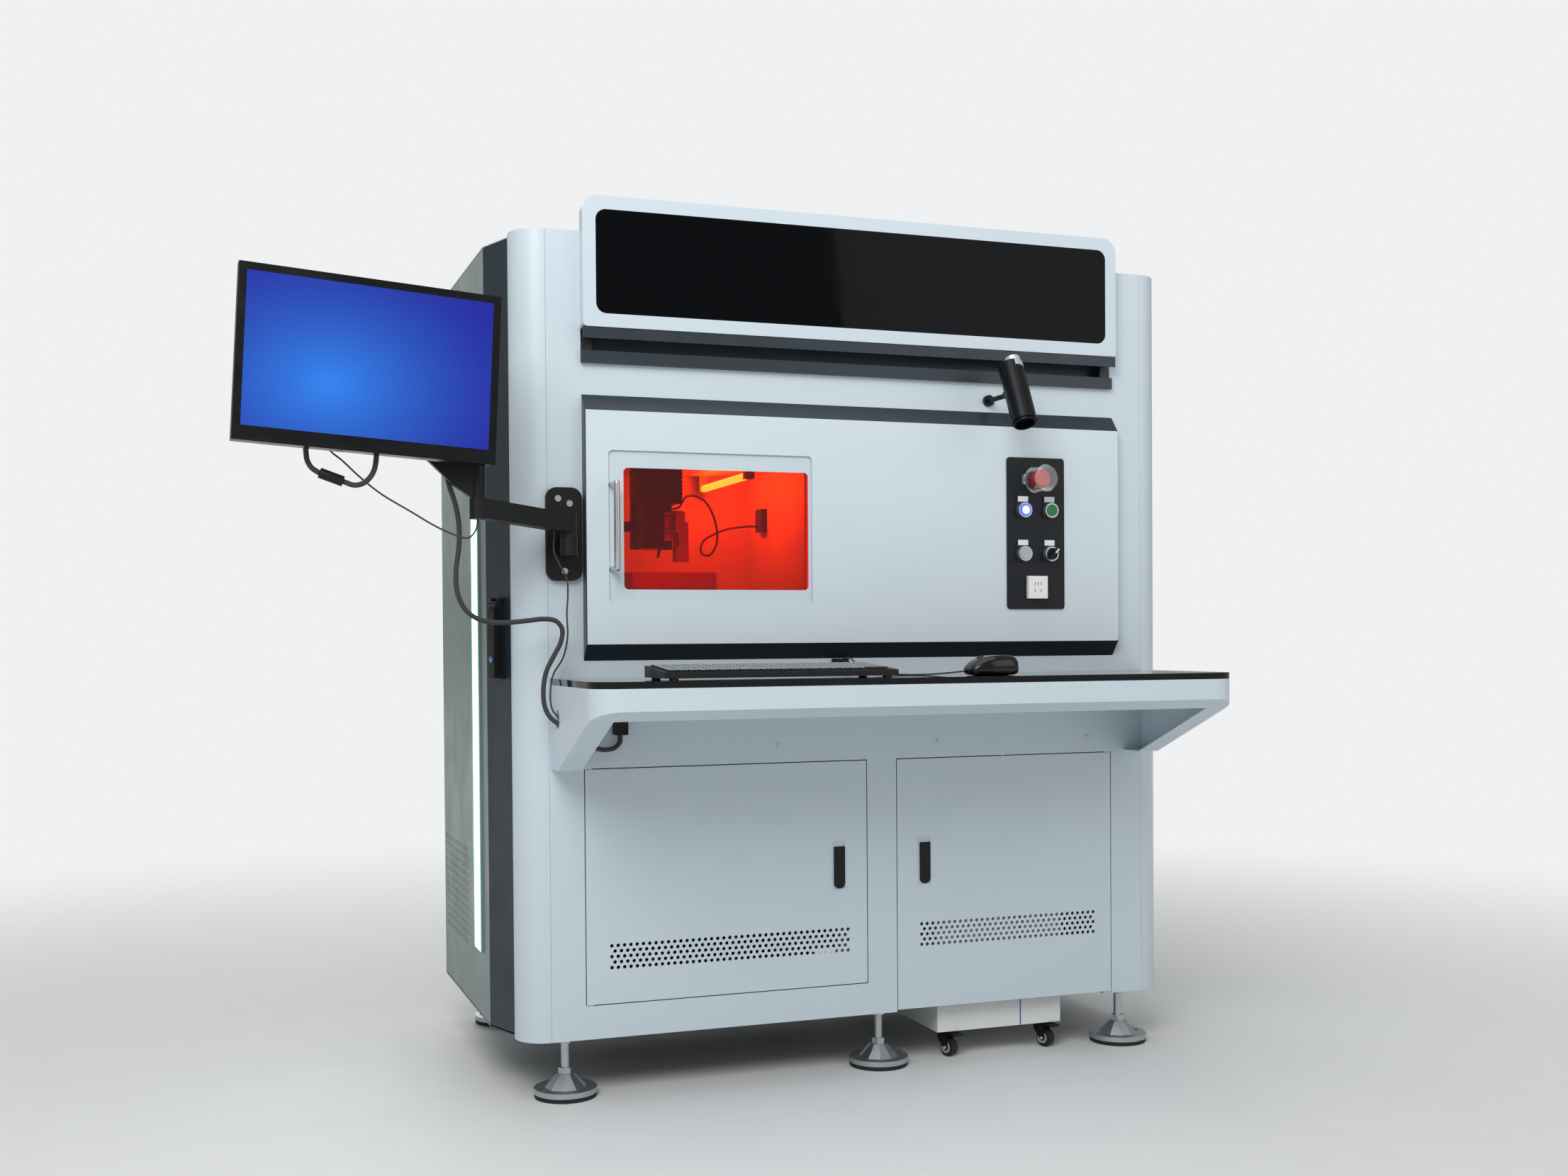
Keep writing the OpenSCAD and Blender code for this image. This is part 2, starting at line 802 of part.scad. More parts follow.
// Plan of the roof and of the two bottom corner plates, for the left half
module side_plan(y1) {
  intersection() {
    translate([0, column_r]) circle(column_r);
    translate([-column_r, 0]) square([column_r + eps, column_r]);
  }
  polygon([[0, column_r], [-column_r, column_r], [-strip_out, strip_y0], [-side_out, strip_y1],
    [-side_out, y1], [0, y1]]);
}

module top_cover() {
  color(white_paint) placed() translate([0, 0, z_high - sheet]) linear_extrude(sheet) {
    square([cab_w, cab_d]);
    side_plan(cab_d);
    translate([cab_w, 0]) mirror([1, 0]) side_plan(cab_d);
  }
}

/* Rear panel with the bottom corner plates folded from it */
module rear_panel() {
  panel_x = side_out - 3 * side_pin_in;
  color(silver_paint) placed() {
    difference() {
      box(-panel_x, cab_w + panel_x, cab_d - sheet, cab_d, z_low + sheet, z_high - sheet);
      for (i = [0:slot_cols - 1], j = [0:slot_rows / 2 - 1])
        translate([frame_mid_x + table_w + i * slot_col_w, cab_d - sheet - eps,
          z_low + side_slot_z + j * slot_row_h])
          cube([side_slot_w, sheet + 2 * eps, side_slot_h]);
    }
    for (m = [0, 1]) side_mirror(m) translate([0, 0, z_low]) linear_extrude(sheet) difference() {
      union() {
        side_plan(cab_d);
        translate([0, 0]) square([frame_inset + tube / 2, cab_d]);
      }
      translate([-column_r, -eps]) square([column_r + frame_inset + tube, column_y1 + eps]);
      translate([frame_inset, rear_foot_y]) circle(foot_rod_d);
    }
  }
}

/* Sign above the louvre */
module sign_housing() {
  color(white_paint) placed() difference() {
    upright(-sign_out, sign_out)
      sign_outline(sign_x, sign_zc, sign_w, sign_h, sign_r, sign_low_r);
    upright(-sign_out - eps, sign_glass_t + eps) round_rect(sign_x + sign_rim, sign_zc + sign_rim,
      sign_w - 2 * sign_rim, sign_h - 2 * sign_rim, sign_glass_r);
    upright(sign_face_t - sign_out, sign_out - sign_face_t - sheet)
      sign_outline(sign_x + sheet, sign_zc + sheet, sign_w - 2 * sheet, sign_h - 2 * sheet,
        sign_r - sheet, sign_low_r - sheet);
    rod_y(cab_w / 2, z_high + sign_wire_r * 2, -2 * sheet, eps, sign_wire_r);
  }
}

module sign_glass() {
  color("#0A0B0D") placed() upright(-sign_out, sign_glass_t)
    round_rect(sign_x + sign_rim, sign_zc + sign_rim, sign_w - 2 * sign_rim, sign_h - 2 * sign_rim,
      sign_glass_r);
}

module louvre() {
  z1 = louvre_zc + louvre_h;
  color(slate_paint) placed() {
    along_x(sign_x, sign_w)
      polygon([[-upper_fin_out, z1 - fin_h], [-upper_fin_out, z1], [0, z1], [0, z1 - fin_t],
        [fin_t - upper_fin_out, z1 - fin_t], [fin_t - upper_fin_out, z1 - fin_h]]);
    along_x(sign_x, sign_w)
      polygon([[-lower_fin_out, louvre_zc], [-lower_fin_out, louvre_zc + fin_t + fin_h],
        [fin_t - lower_fin_out, louvre_zc + fin_t + fin_h], [fin_t - lower_fin_out, louvre_zc + fin_t],
        [0, louvre_zc + fin_t], [0, louvre_zc]]);
    difference() {
      box(sign_x + louvre_side - sheet, sign_x + sign_w - louvre_side + sheet,
        sheet, sheet + louvre_depth, louvre_zc, z1);
      box(sign_x + louvre_side, sign_x + sign_w - louvre_side,
        sheet - eps, louvre_depth, louvre_zc + sheet, z1 - sheet);
    }
  }
}

/* Protruding panel: white face with the sliding window's guides behind it */
module guide(z0, groove_z) {
  difference() {
    box(face_x0, ctrl_x - ctrl_w / 2, -panel_out + sheet, -panel_out + sheet + guide_d, z0, z0 + guide_h);
    box(face_x0 - eps, ctrl_x - ctrl_w / 2 + eps, -door_front - groove_clear,
      -door_front + sheet + groove_clear, groove_z, groove_z + guide_grip + groove_clear + eps);
  }
}

module panel_face() {
  top_z = win_z0 + win_h + door_lap - guide_grip;
  low_z = win_z0 - door_lap + guide_grip - guide_h;
  color(white_paint) placed() {
    upright(-panel_out, sheet) difference() {
      translate([face_x0, face_z0]) square([face_x1 - face_x0, face_z1 - face_z0]);
      round_rect(win_x0, win_z0, win_w, win_h, win_r);
      translate([ctrl_x - ctrl_w / 2 + ctrl_r, ctrl_zc - ctrl_h / 2 + ctrl_r])
        square([ctrl_w - 2 * ctrl_r, ctrl_h - 2 * ctrl_r]);
    }
    guide(top_z, top_z - eps);
    guide(low_z, low_z + guide_h - guide_grip - groove_clear);
  }
}

module panel_trims() {
  z0 = z_low + panel_z;
  z1 = z0 + panel_h;
  lap = sheet * bevel_h / panel_out;
  color(slate_paint) placed() {
    along_x(face_x0, face_x1 - face_x0)
      polygon([[0, z1], [-panel_out, z1 - bevel_h], [sheet - panel_out, z1 - bevel_h], [0, z1 - lap]]);
    along_x(face_x0, face_x1 - face_x0)
      polygon([[0, z0], [-panel_out, z0 + bevel_h], [sheet - panel_out, z0 + bevel_h], [0, z0 + lap]]);
    for (x = [panel_margin, face_x1]) along_x(x, sheet)
      polygon([[0, z0], [-panel_out, z0 + bevel_h], [-panel_out, z1 - bevel_h], [0, z1]]);
  }
}

/* Work chamber */
module chamber_liner() {
  x1 = cham_x + cham_w;
  color("white") placed() {
    difference() {
      box(cham_x - cham_wall, x1 + cham_wall, sheet, cham_d + cham_wall,
        cham_z - cham_wall, cham_z + cham_h + cham_wall);
      box(cham_x, x1, -eps, cham_d, cham_z, cham_z + cham_h);
    }
    color(black_plastic) difference() {
      box(x1 - outlet_t, x1, outlet_y - outlet_w / 2, outlet_y + outlet_w / 2,
        cham_z + outlet_up - outlet_h / 2, cham_z + outlet_up + outlet_h / 2);
      rod_x(outlet_y, cham_z + outlet_up - outlet_h / 4, x1 - outlet_t - eps, x1 - outlet_t / 2, thin_r * 1.5 + seat);
    }
  }
}

module tube_light() {
  z = cham_z + cham_h - tube_drop;
  x = cham_x + tube_x;
  color("#FFF7C8") placed() {
    rod_y(x, z, tube_y0 + holder_l / 2, tube_y1 - holder_l / 2, tube_r);
    for (y = [tube_y0, tube_y1 - holder_l])
      box(x - tube_r - sheet, x + tube_r + sheet, y, y + holder_l, z - tube_r, cham_z + cham_h);
  }
}

/* Bed, guide rails and the hanging vertical axis inside the chamber */
module stage_base() {
  zb = cham_z + bed_t;
  zc = cham_z + cham_h;
  color("#2B2F33") placed() {
    box(cham_x + bed_margin, cham_x + cham_w - bed_margin, bed_y0, bed_y1, cham_z, zb);
    for (x = [-1, 1]) translate([table_x + x * (table_w / 2 - rail_w), 0, 0])
      box(-rail_w / 2, rail_w / 2, table_y - table_d, table_y + table_d, zb, zb + rail_h);
    box(zaxis_x - zaxis_w / 2, zaxis_x + zaxis_w / 2, zaxis_y, zaxis_y + zaxis_plate_t,
      zc - bellows_h - carriage_h, zc);
    box(zaxis_x - zaxis_w / 2, zaxis_x + zaxis_w / 2, zaxis_y - bellows_d, zaxis_y, zc - bellows_h, zc);
    box(cham_x, zaxis_x - zaxis_w / 2, zaxis_y, zaxis_y + zaxis_plate_t,
      cham_z + zaxis_beam_up, cham_z + zaxis_beam_up + rail_w);
  }
}

// Hanging carriage with the cutting head: two clamps, the slanted nozzle and the optics block
module z_carriage() {
  z1 = cham_z + cham_h - bellows_h - sheet;
  y0 = zaxis_y - bellows_d + sheet;
  zk = cham_z + clamp_z;
  color("#22252A") placed() {
    box(carriage_x, carriage_x + carriage_w, y0, zaxis_y - seat, z1 - carriage_h, z1);
    box(carriage_x + carriage_w - eps, carriage_x + carriage_w + head_w, y0 + optic_d,
      y0 + optic_d + head_plate_t, zk - rail_w, zk + clamp_step + clamp_r);
    for (k = [0, 1])
      rod_x(y0 + optic_d / 2, zk + k * clamp_step, clamp_x - clamp_r, optic_x + eps, clamp_r);
    rod_z(clamp_x + clamp_r, y0 + optic_d / 2, zk, clamp_r, clamp_step);
    difference() {
      box(optic_x, optic_x + optic_w, y0, y0 + optic_d + eps, zk + clamp_step + clamp_r - optic_h,
        zk + clamp_step + clamp_r);
      box(optic_x + optic_w / 2, optic_x + optic_w + eps, y0 - eps, y0 + optic_d, zk + clamp_step / 2,
        zk + clamp_step + clamp_r + eps);
      box(optic_x - eps, optic_x + optic_w / 4, y0 - eps, y0 + optic_d, zk - optic_notch, zk - clamp_r);
    }
    translate([clamp_x + clamp_r, y0 + optic_d / 2, zk]) rotate([0, 180 + nozzle_tilt, 0])
      cylinder(r1 = clamp_r, r2 = nozzle_r, h = nozzle_l);
  }
}

module y_saddle() {
  z0 = cham_z + bed_t + seat;
  color("#B9BEC2") placed() difference() {
    union() {
      box(table_x - table_w / 2, table_x + table_w / 2, table_y - table_d / 2, table_y + table_d / 2,
        z0 + rail_h - rail_w / 4, z0 + rail_h + saddle_t);
      for (y = [-1, 1]) translate([0, table_y + y * (table_d / 2 - rail_w), 0])
        box(table_x - table_w / 2, table_x + table_w / 2, -rail_w / 2, rail_w / 2,
          z0 + rail_h + saddle_t - eps, z0 + rail_h + saddle_t + table_gap);
    }
    for (x = [-1, 1]) translate([table_x + x * (table_w / 2 - rail_w), 0, 0])
      box(-rail_w / 2 - seat, rail_w / 2 + seat, table_y - table_d, table_y + table_d,
        z0 - eps, z0 + rail_h);
  }
}

module x_table() {
  z0 = cham_z + bed_t + rail_h + saddle_t + 2 * seat;
  color("#C4C8CC") placed() difference() {
    box(table_x - table_w / 2, table_x + table_w / 2, table_y - table_d / 2, table_y + table_d / 2,
      z0 + eps, z0 + table_gap + table_t);
    for (y = [-1, 1]) translate([0, table_y + y * (table_d / 2 - rail_w), 0])
      box(table_x - table_w, table_x + table_w, -rail_w / 2 - seat, rail_w / 2 + seat,
        z0 - eps, z0 + table_gap);
    for (x = [-1.5:1:1.5], y = [-1, 1])
      rod_z(table_x + x * table_w / 4, table_y + y * table_d / 8, z0 + table_gap + table_t / 2,
        cover_pin_r * 2, table_t);
  }
}

/* Console: one folded sheet, open below, with its back plate */
module shelf_plan(inset, x_in, y_in) {
  w = shelf_w - 2 * x_in;
  r = shelf_r - inset;
  translate([shelf_x + x_in, -shelf_d + y_in]) {
    translate([0, r]) square([w, shelf_d - y_in - r]);
    translate([r, 0]) square([w - 2 * r, shelf_d - y_in]);
    for (x = [r, w - r]) translate([x, r]) circle(r);
  }
}

module shelf_side(drop) {
  slope = (apron_z - shelf_low) / (shelf_d - cheek_d);
  lift = drop * sqrt(1 + slope * slope);
  polygon([[0, shelf_low + drop], [-cheek_d, shelf_low + drop], [-cheek_d, shelf_low + lift],
    [-shelf_d, apron_z + lift], [-shelf_d, shelf_glass_z - drop], [0, shelf_glass_z - drop]]);
}

module console_shelf() {
  slope = (apron_z - shelf_low) / (shelf_d - cheek_d);
  color(white_paint) placed() difference() {
    intersection() {
      translate([0, 0, shelf_low]) linear_extrude(shelf_glass_z - shelf_low) shelf_plan(0, 0, 0);
      along_x(shelf_x, shelf_w) shelf_side(0);
    }
    intersection() {
      translate([0, 0, shelf_low - eps]) linear_extrude(shelf_glass_z - shelf_low)
        shelf_plan(sheet, sheet, sheet);
      along_x(shelf_x, shelf_w) shelf_side(sheet);
      box(shelf_x, shelf_x + shelf_w, -shelf_d, -sheet, 0, shelf_top);
    }
    box(shelf_x + shelf_fold, shelf_x + shelf_w - shelf_fold, -shelf_d + shelf_fold, -sheet,
      shelf_low - eps, apron_z + sheet + eps);
    box(shelf_x + shelf_fold, shelf_x + shelf_w - shelf_fold, -sheet - eps, eps,
      shelf_low - eps, shelf_low + back_lift);
    along_x(shelf_x - eps, sheet + 2 * eps) translate([-cable_hole_y, cable_hole_z]) {
      square([cable_hole_w, cable_hole_h - cable_hole_w], center = true);
      for (z = [-1, 1]) translate([0, z * (cable_hole_h - cable_hole_w) / 2]) circle(cable_hole_w / 2);
    }
  }
}

module shelf_glass() {
  color("#101417") placed() translate([0, 0, shelf_glass_z]) linear_extrude(glass_t) shelf_plan(0, 0, 0);
}

// Domed screw head on a face that looks forward, standing on y
module screw_head(x, y, z, r) {
  rod_y(x, z, y - screw_t, y, r);
}

module fixing_screws() {
  color(steel_colour) placed() {
    for (i = [0:shelf_screw_n - 1])
      screw_head(shelf_screw_x + i * shelf_screw_pitch, -sheet, shelf_low + shelf_screw_up, screw_r);
    for (i = [0:2])
      screw_head(wall_plate_x + wall_screw_x[i], -wall_plate_t, wall_plate_z + wall_screw_z[i],
        wall_screw_r);
  }
}

/* Monitor arm */
module arm_wall_plate() {
  color(black_plastic) placed() {
    upright(-wall_plate_t, wall_plate_t) round_rect(wall_plate_x - wall_plate_w / 2,
      wall_plate_z - wall_plate_h / 2, wall_plate_w, wall_plate_h, wall_plate_r);
    box(wall_plate_x - knuckle_web / 2, wall_plate_x + knuckle_web / 2, -knuckle_y, -wall_plate_t,
      knuckle_z, knuckle_z + knuckle_h);
    rod_z(wall_plate_x, -knuckle_y, knuckle_z, knuckle_r, knuckle_h);
    rod_z(wall_plate_x, -knuckle_y, knuckle_z, arm_pin_r, knuckle_h + arm_pin_l);
  }
}

module arm_link() {
  z = link_z0 + link_rise;
  color(black_plastic) placed() difference() {
    union() {
      rod_z(wall_plate_x, -knuckle_y, link_z0, link_end_r, link_rise + link_h / 2);
      translate([wall_plate_x, -knuckle_y, z]) rotate([0, -link_slope, 180 + link_turn])
        translate([0, -link_w / 2, -link_h / 2]) cube([link_l / cos(link_slope), link_w, link_h]);
      rod_z(hub_x, hub_y, hub_z1 - link_h - sheet, link_end_r, link_h + sheet);
    }
    rod_z(wall_plate_x, -knuckle_y, link_z0 - eps, arm_pin_r + run, arm_pin_l + eps);
    rod_z(hub_x, hub_y, hub_z1 - arm_pin_l, arm_pin_r + run, arm_pin_l + link_h);
  }
}

module arm_riser() {
  z0 = hub_z1 + seat;
  dx = hub_x + mon_x;
  dz = mon_z - z0;
  ty = -mon_y + tilt_back;
  color(black_plastic) placed() difference() {
    union() {
      rod_z(hub_x, hub_y, z0, post_r, post_h);
      rod_z(hub_x, hub_y, hub_z1 - arm_pin_l + seat, arm_pin_r, arm_pin_l);
      upright(hub_y - riser_t / 2, riser_t)
        polygon([[hub_x + post_r, z0], [hub_x + post_r, z0 + post_h],
          [-mon_x + riser_w / 2, mon_z + riser_w / 2], [-mon_x - riser_w / 2, mon_z + riser_w / 2],
          [-mon_x - riser_w / 2, mon_z - riser_w / 2], [hub_x - post_r - riser_w / 2, z0 + riser_low],
          [hub_x - post_r, z0]]);
      for (s = [-1, 1]) translate([-mon_x + s * (tilt_w + ear_t) / 2, 0, 0]) {
        rod_x(ty, mon_z, -ear_t / 2, ear_t / 2, tilt_r);
        box(-ear_t / 2, ear_t / 2, ty, hub_y - riser_t / 2 + eps, mon_z - tilt_r, mon_z + tilt_r);
      }
    }
    rod_x(ty, mon_z, -mon_x - tilt_w, -mon_x + tilt_w, tilt_pin_r + run);
  }
}

// Turns the monitor, drawn upright with its picture in the plane y = 0, to its place
module monitor_place() {
  translate([-mon_x, -mon_y, mon_z]) rotate([0, 0, mon_turn]) rotate([-mon_lean, 0, 0])
    rotate([0, mon_roll, 0]) children();
}

module monitor_case() {
  ty = -mon_y + tilt_back;
  color(black_plastic) placed() {
    difference() {
      union() {
        monitor_place() {
          upright(-sheet, mon_edge) translate([-mon_w / 2, -screen_h / 2 - mon_chin])
            square([mon_w, mon_h]);
          box(-mon_back_w / 2, mon_back_w / 2, 0, mon_t, -mon_back_h / 2, mon_back_h / 2);
          box(-vesa_w / 2, vesa_w / 2, mon_t - eps, mon_t + vesa_t, -vesa_w / 2, vesa_w / 2);
        }
        box(-mon_x - tilt_w / 2 + seat, -mon_x + tilt_w / 2 - seat, -mon_y + mon_t, ty,
          mon_z - tilt_r, mon_z + tilt_r);
        rod_x(ty, mon_z, -mon_x - tilt_w / 2 + seat, -mon_x + tilt_w / 2 - seat, tilt_r);
      }
      monitor_place() box(-screen_w / 2, screen_w / 2, -sheet - eps, screen_t - sheet + run,
        -screen_h / 2, screen_h / 2);
    }
    rod_x(ty, mon_z, -mon_x - tilt_w / 2 - ear_t, -mon_x + tilt_w / 2 + ear_t, tilt_pin_r);
  }
}

module monitor_screen() {
  color("#1F49C8") placed() monitor_place() box(-screen_w / 2, screen_w / 2, -sheet, screen_t - sheet,
    -screen_h / 2, screen_h / 2);
}

/* Control plate with the label holders on it */
module at_buttons() {
  for (x = [-1, 1], z = [row1_z, row2_z]) translate([ctrl_x + x * btn_dx / 2, -ctrl_front, z]) children();
}

module control_plate() {
  color(slate_paint) placed() {
    difference() {
      upright(-ctrl_front, ctrl_t)
        round_rect(ctrl_x - ctrl_w / 2, ctrl_zc - ctrl_h / 2, ctrl_w, ctrl_h, ctrl_r);
      at_buttons() rod_y(0, 0, -eps, ctrl_t + eps, btn_hole / 2);
      rod_y(ctrl_x, stop_z, -ctrl_front - eps, -panel_out + eps, btn_hole / 2);
    }
    at_buttons() difference() {
      box(-holder_w / 2, holder_w / 2, -holder_t, 0, -holder_low, holder_h - holder_low);
      rod_y(0, 0, -holder_t - eps, eps, btn_hole / 2);
    }
    at_buttons() box(-label_w / 2, label_w / 2, -holder_t - label_t, -holder_t,
      label_up - label_h / 2, label_up + label_h / 2);
  }
}

/* Bezels with their threaded barrels and contact blocks, and the stop button's collar */
module button_bezels() {
  back = ctrl_front - panel_out;
  color(steel_colour) placed() {
    at_buttons() difference() {
      union() {
        rod_y(0, 0, -holder_t - bezel_out, -holder_t, bezel_d / 2);
        rod_y(0, 0, -holder_t - eps, back + barrel_l, btn_hole / 2 - run);
        box(-contact_w / 2, contact_w / 2, back + barrel_l, back + barrel_l + contact_d,
          -contact_w / 2, contact_w / 2);
      }
      rod_y(0, 0, -holder_t - bezel_out - eps, -holder_t + run - eps, bezel_in_r);
      rod_y(0, 0, -holder_t - bezel_out, back + barrel_l - eps, stem_r + run);
    }
    translate([ctrl_x, -ctrl_front, stop_z]) {
      difference() {
        union() {
          rod_y(0, 0, -stop_collar_t, 0, cover_d / 2);
          rod_y(0, 0, -eps, back + barrel_l, btn_hole / 2 - run);
          box(-contact_w / 2, contact_w / 2, back + barrel_l, back + barrel_l + contact_d,
            -contact_w / 2, contact_w / 2);
          box(-cover_d / 2 - cover_tab / 2, -cover_d / 2 + cover_tab, -stop_collar_t, 0,
            -cover_tab_t * 2, cover_tab_t * 2);
        }
        rod_y(0, 0, -stop_collar_t - eps, back + barrel_l - eps, stem_r + run);
      }
      for (z = [-1, 1]) translate([-cover_d / 2 - cover_tab / 4, 0, z * (cover_tab_t / 2 + cover_tab_t)])
        difference() {
          union() {
            rod_z(0, -cover_pin_y, -cover_tab_t / 2, cover_ear_r, cover_tab_t);
            box(-cover_ear_r, cover_ear_r, -cover_pin_y, -stop_collar_t + eps / 2,
              -cover_tab_t / 2, cover_tab_t / 2);
          }
          rod_z(0, -cover_pin_y, -cover_tab_t, cover_pin_r + run, 2 * cover_tab_t);
        }
    }
  }
}

module push_button(x, z, shade) {
  back = ctrl_front - panel_out;
  color(shade) placed() translate([ctrl_x + x * btn_dx / 2, -ctrl_front, z]) {
    rod_y(0, 0, -holder_t - bezel_out - cap_out, -holder_t - btn_travel - eps - seat, cap_r);
    rod_y(0, 0, -holder_t - btn_travel - eps - seat - eps, back + barrel_l - btn_travel - 2 * eps, stem_r);
  }
}

module blue_button() {
  push_button(-1, row1_z, "#6FA8FF");
}

module green_button() {
  push_button(1, row1_z, "#0E7A42");
}

module white_button() {
  push_button(-1, row2_z, "#B9C1C6");
}

/* Selector: short grip that points up and to the right at rest */
module selector_knob() {
  back = ctrl_front - panel_out;
  grip_w = 7;
  grip_l = 27;
  grip_out = 12;
  color(black_plastic) placed() translate([ctrl_x + btn_dx / 2, -ctrl_front, row2_z]) {
    rod_y(0, 0, -holder_t - bezel_out - cap_out, -holder_t - bezel_out / 2, cap_r);
    rod_y(0, 0, -holder_t - bezel_out / 2 - eps, back + barrel_l - 2 * eps, stem_r);
    rotate([0, 45, 0]) box(-grip_w / 2, grip_w / 2, -holder_t - bezel_out - grip_out,
      -holder_t - bezel_out - cap_out + eps, -grip_l / 2, grip_l / 2);
  }
}

/* Mushroom head on its stem */
module stop_button() {
  back = ctrl_front - panel_out;
  rim_y = stop_out - 15;
  rim_t = 8;
  neck_r = 12;
  color("#B01218") placed() translate([ctrl_x, -ctrl_front, stop_z]) {
    rod_y(0, 0, -rim_y - rim_t, -rim_y, stop_d / 2);
    translate([0, -rim_y - rim_t, 0]) rotate([90, 0, 0])
      cylinder(r1 = stop_d / 2, r2 = stop_d / 2 - 6, h = stop_out - rim_y - rim_t);
    rod_y(0, 0, -rim_y - eps, -stop_collar_t - btn_travel - 2 * eps, neck_r);
    rod_y(0, 0, -rim_y, back + barrel_l - btn_travel - 2 * eps, stem_r);
  }
}

module stop_cover() {
  pin_x0 = -cover_d / 2 - cover_tab / 4;
  color("#DDEEFF55") placed() translate([ctrl_x, -ctrl_front, stop_z]) {
    difference() {
      union() {
        rod_y(0, 0, -cover_out, -stop_collar_t - seat, cover_d / 2);
        box(pin_x0, -cover_d / 2 + cover_t, -cover_pin_y - cover_tab / 4,
          -cover_pin_y + cover_tab / 4 - eps / 2, -cover_tab_t + seat, cover_tab_t - seat);
      }
      rod_y(0, 0, -cover_out + cover_t, -stop_collar_t + eps, cover_d / 2 - cover_t);
    }
    rod_z(pin_x0, -cover_pin_y, -2 * cover_tab_t + seat, cover_pin_r, 4 * cover_tab_t - 2 * seat);
  }
}

/* Five-hole socket */
module mains_socket() {
  y0 = -ctrl_front - socket_t;
  color("white") placed() difference() {
    box(ctrl_x - socket_w / 2, ctrl_x + socket_w / 2, y0, -ctrl_front,
      socket_z - socket_h / 2, socket_z + socket_h / 2);
    for (i = [-1, 0, 1]) translate([ctrl_x + i * slot_l, y0 - eps, socket_z + slot_l])
      box(-slot_t / 2, slot_t / 2, 0, slot_depth + eps, -slot_l / 2, slot_l / 2);
    for (i = [-1, 1]) translate([ctrl_x + i * slot_l, y0 - eps, socket_z - slot_l]) rotate([0, i * 30, 0])
      box(-slot_t / 2, slot_t / 2, 0, slot_depth + eps, -slot_l / 2, slot_l / 2);
  }
}

/* Work light */
module lamp_arm() {
  color(black_plastic) placed() translate([lamp_x, 0, lamp_z]) {
    rod_y(0, 0, -lamp_stud_t, 0, lamp_stud_r);
    rod_y(0, 0, -lamp_arm_l + lamp_eye_r, -lamp_stud_t + eps, lamp_arm_r);
    difference() {
      union() {
        rod_x(-lamp_arm_l, 0, -lamp_eye_w / 2, lamp_eye_w / 2, lamp_eye_r);
        box(-lamp_eye_w / 2, lamp_eye_w / 2, -lamp_arm_l, -lamp_arm_l + lamp_eye_r + eps,
          -lamp_arm_r, lamp_arm_r);
      }
      rod_x(-lamp_arm_l, 0, -lamp_eye_w, lamp_eye_w, lamp_pin_r + run);
    }
  }
}

module lamp_body() {
  off = lamp_d / 2 + lamp_eye_r + lamp_gap;
  color("#22262B") placed() translate([lamp_x, -lamp_arm_l, lamp_z]) {
    rotate([-lamp_tilt, 0, 0]) {
      translate([0, -off, -lamp_drop]) {
        difference() {
          union() {
            rod_z(0, 0, -lamp_l / 2 + lamp_ring_t, lamp_d / 2, lamp_l - lamp_ring_t);
            rod_z(0, 0, -lamp_l / 2, lamp_d / 2 - lamp_ring_in, lamp_ring_t + eps);
          }
          rod_z(0, 0, -lamp_l / 2 - eps, lamp_d / 2 - lamp_ring_in - lamp_wall, lamp_lens_in + eps);
        }
        rod_z(lamp_neck_off, 0, lamp_l / 2 - eps, lamp_neck_r, lamp_neck_l);
      }
      for (s = [-1, 1]) translate([s * (lamp_eye_w + lamp_fork_t + seat) / 2, 0, 0]) {
        box(-lamp_fork_t / 2, lamp_fork_t / 2, -lamp_eye_r - sheet - lamp_d / 8, 0,
          -lamp_eye_r, lamp_eye_r);
        rod_x(0, 0, -lamp_fork_t / 2, lamp_fork_t / 2, lamp_eye_r);
      }
      rod_x(0, 0, -lamp_eye_w / 2 - lamp_fork_t, lamp_eye_w / 2 + lamp_fork_t, lamp_pin_r);
    }
  }
}

/* Side doors: slate strip folded to a flat silver panel, with a pan fold all round */
function strip_at(off, x) = let (a = [-strip_out, strip_y0] + off * strip_in)
  [x, a[1] + (x - a[0]) * strip_dir[1] / strip_dir[0]];

module side_door_left() {
  h = cab_h - 2 * sheet - 2 * side_gap;
  z0 = z_low + sheet + side_gap;
  a = [-strip_out, strip_y0];
  in_x = door_fold - side_out;
  difference() {
    translate([0, 0, z0]) linear_extrude(h) polygon([a, [-side_out, strip_y1], [-side_out, side_y1],
      [in_x, side_y1], strip_at(door_fold, in_x), a + door_fold * strip_in]);
    translate([0, 0, z0 + sheet]) linear_extrude(h - 2 * sheet)
      polygon([a + sheet * (strip_dir + strip_in), strip_at(sheet, sheet - side_out),
        [sheet - side_out, side_y1 - sheet], [in_x + eps, side_y1 - sheet],
        strip_at(door_fold + eps, in_x + eps), a + sheet * strip_dir + (door_fold + eps) * strip_in]);
    rod_z(side_pin_in - side_out, side_pin_y, z0 - eps, side_pin_r + run, h + 2 * eps);
    for (i = [0:slot_cols - 1], j = [0:slot_rows - 1])
      translate([-side_out - eps, side_slot_y + i * slot_col_w, z_low + side_slot_z + j * slot_row_h])
        cube([sheet + 2 * eps, side_slot_w, side_slot_h]);
  }
  lever_frame() {
    box(-lever_base_t, 0, -lever_base_w / 2, lever_base_w / 2, 0, lever_l);
    for (s = [-1, 1]) translate([0, s * (lever_base_w / 2 + lever_w / 2 + seat) / 2, 0]) {
      t = (lever_base_w - lever_w) / 2 - seat;
      box(-lever_pin_x, 0, -t / 2, t / 2, lever_l - lever_w, lever_l);
      rod_y(-lever_pin_x, lever_pin_z, -t / 2, t / 2, lever_w / 4);
    }
    rod_y(-lever_pin_x, lever_pin_z, -lever_base_w / 2, lever_base_w / 2, lever_pin_r);
  }
}

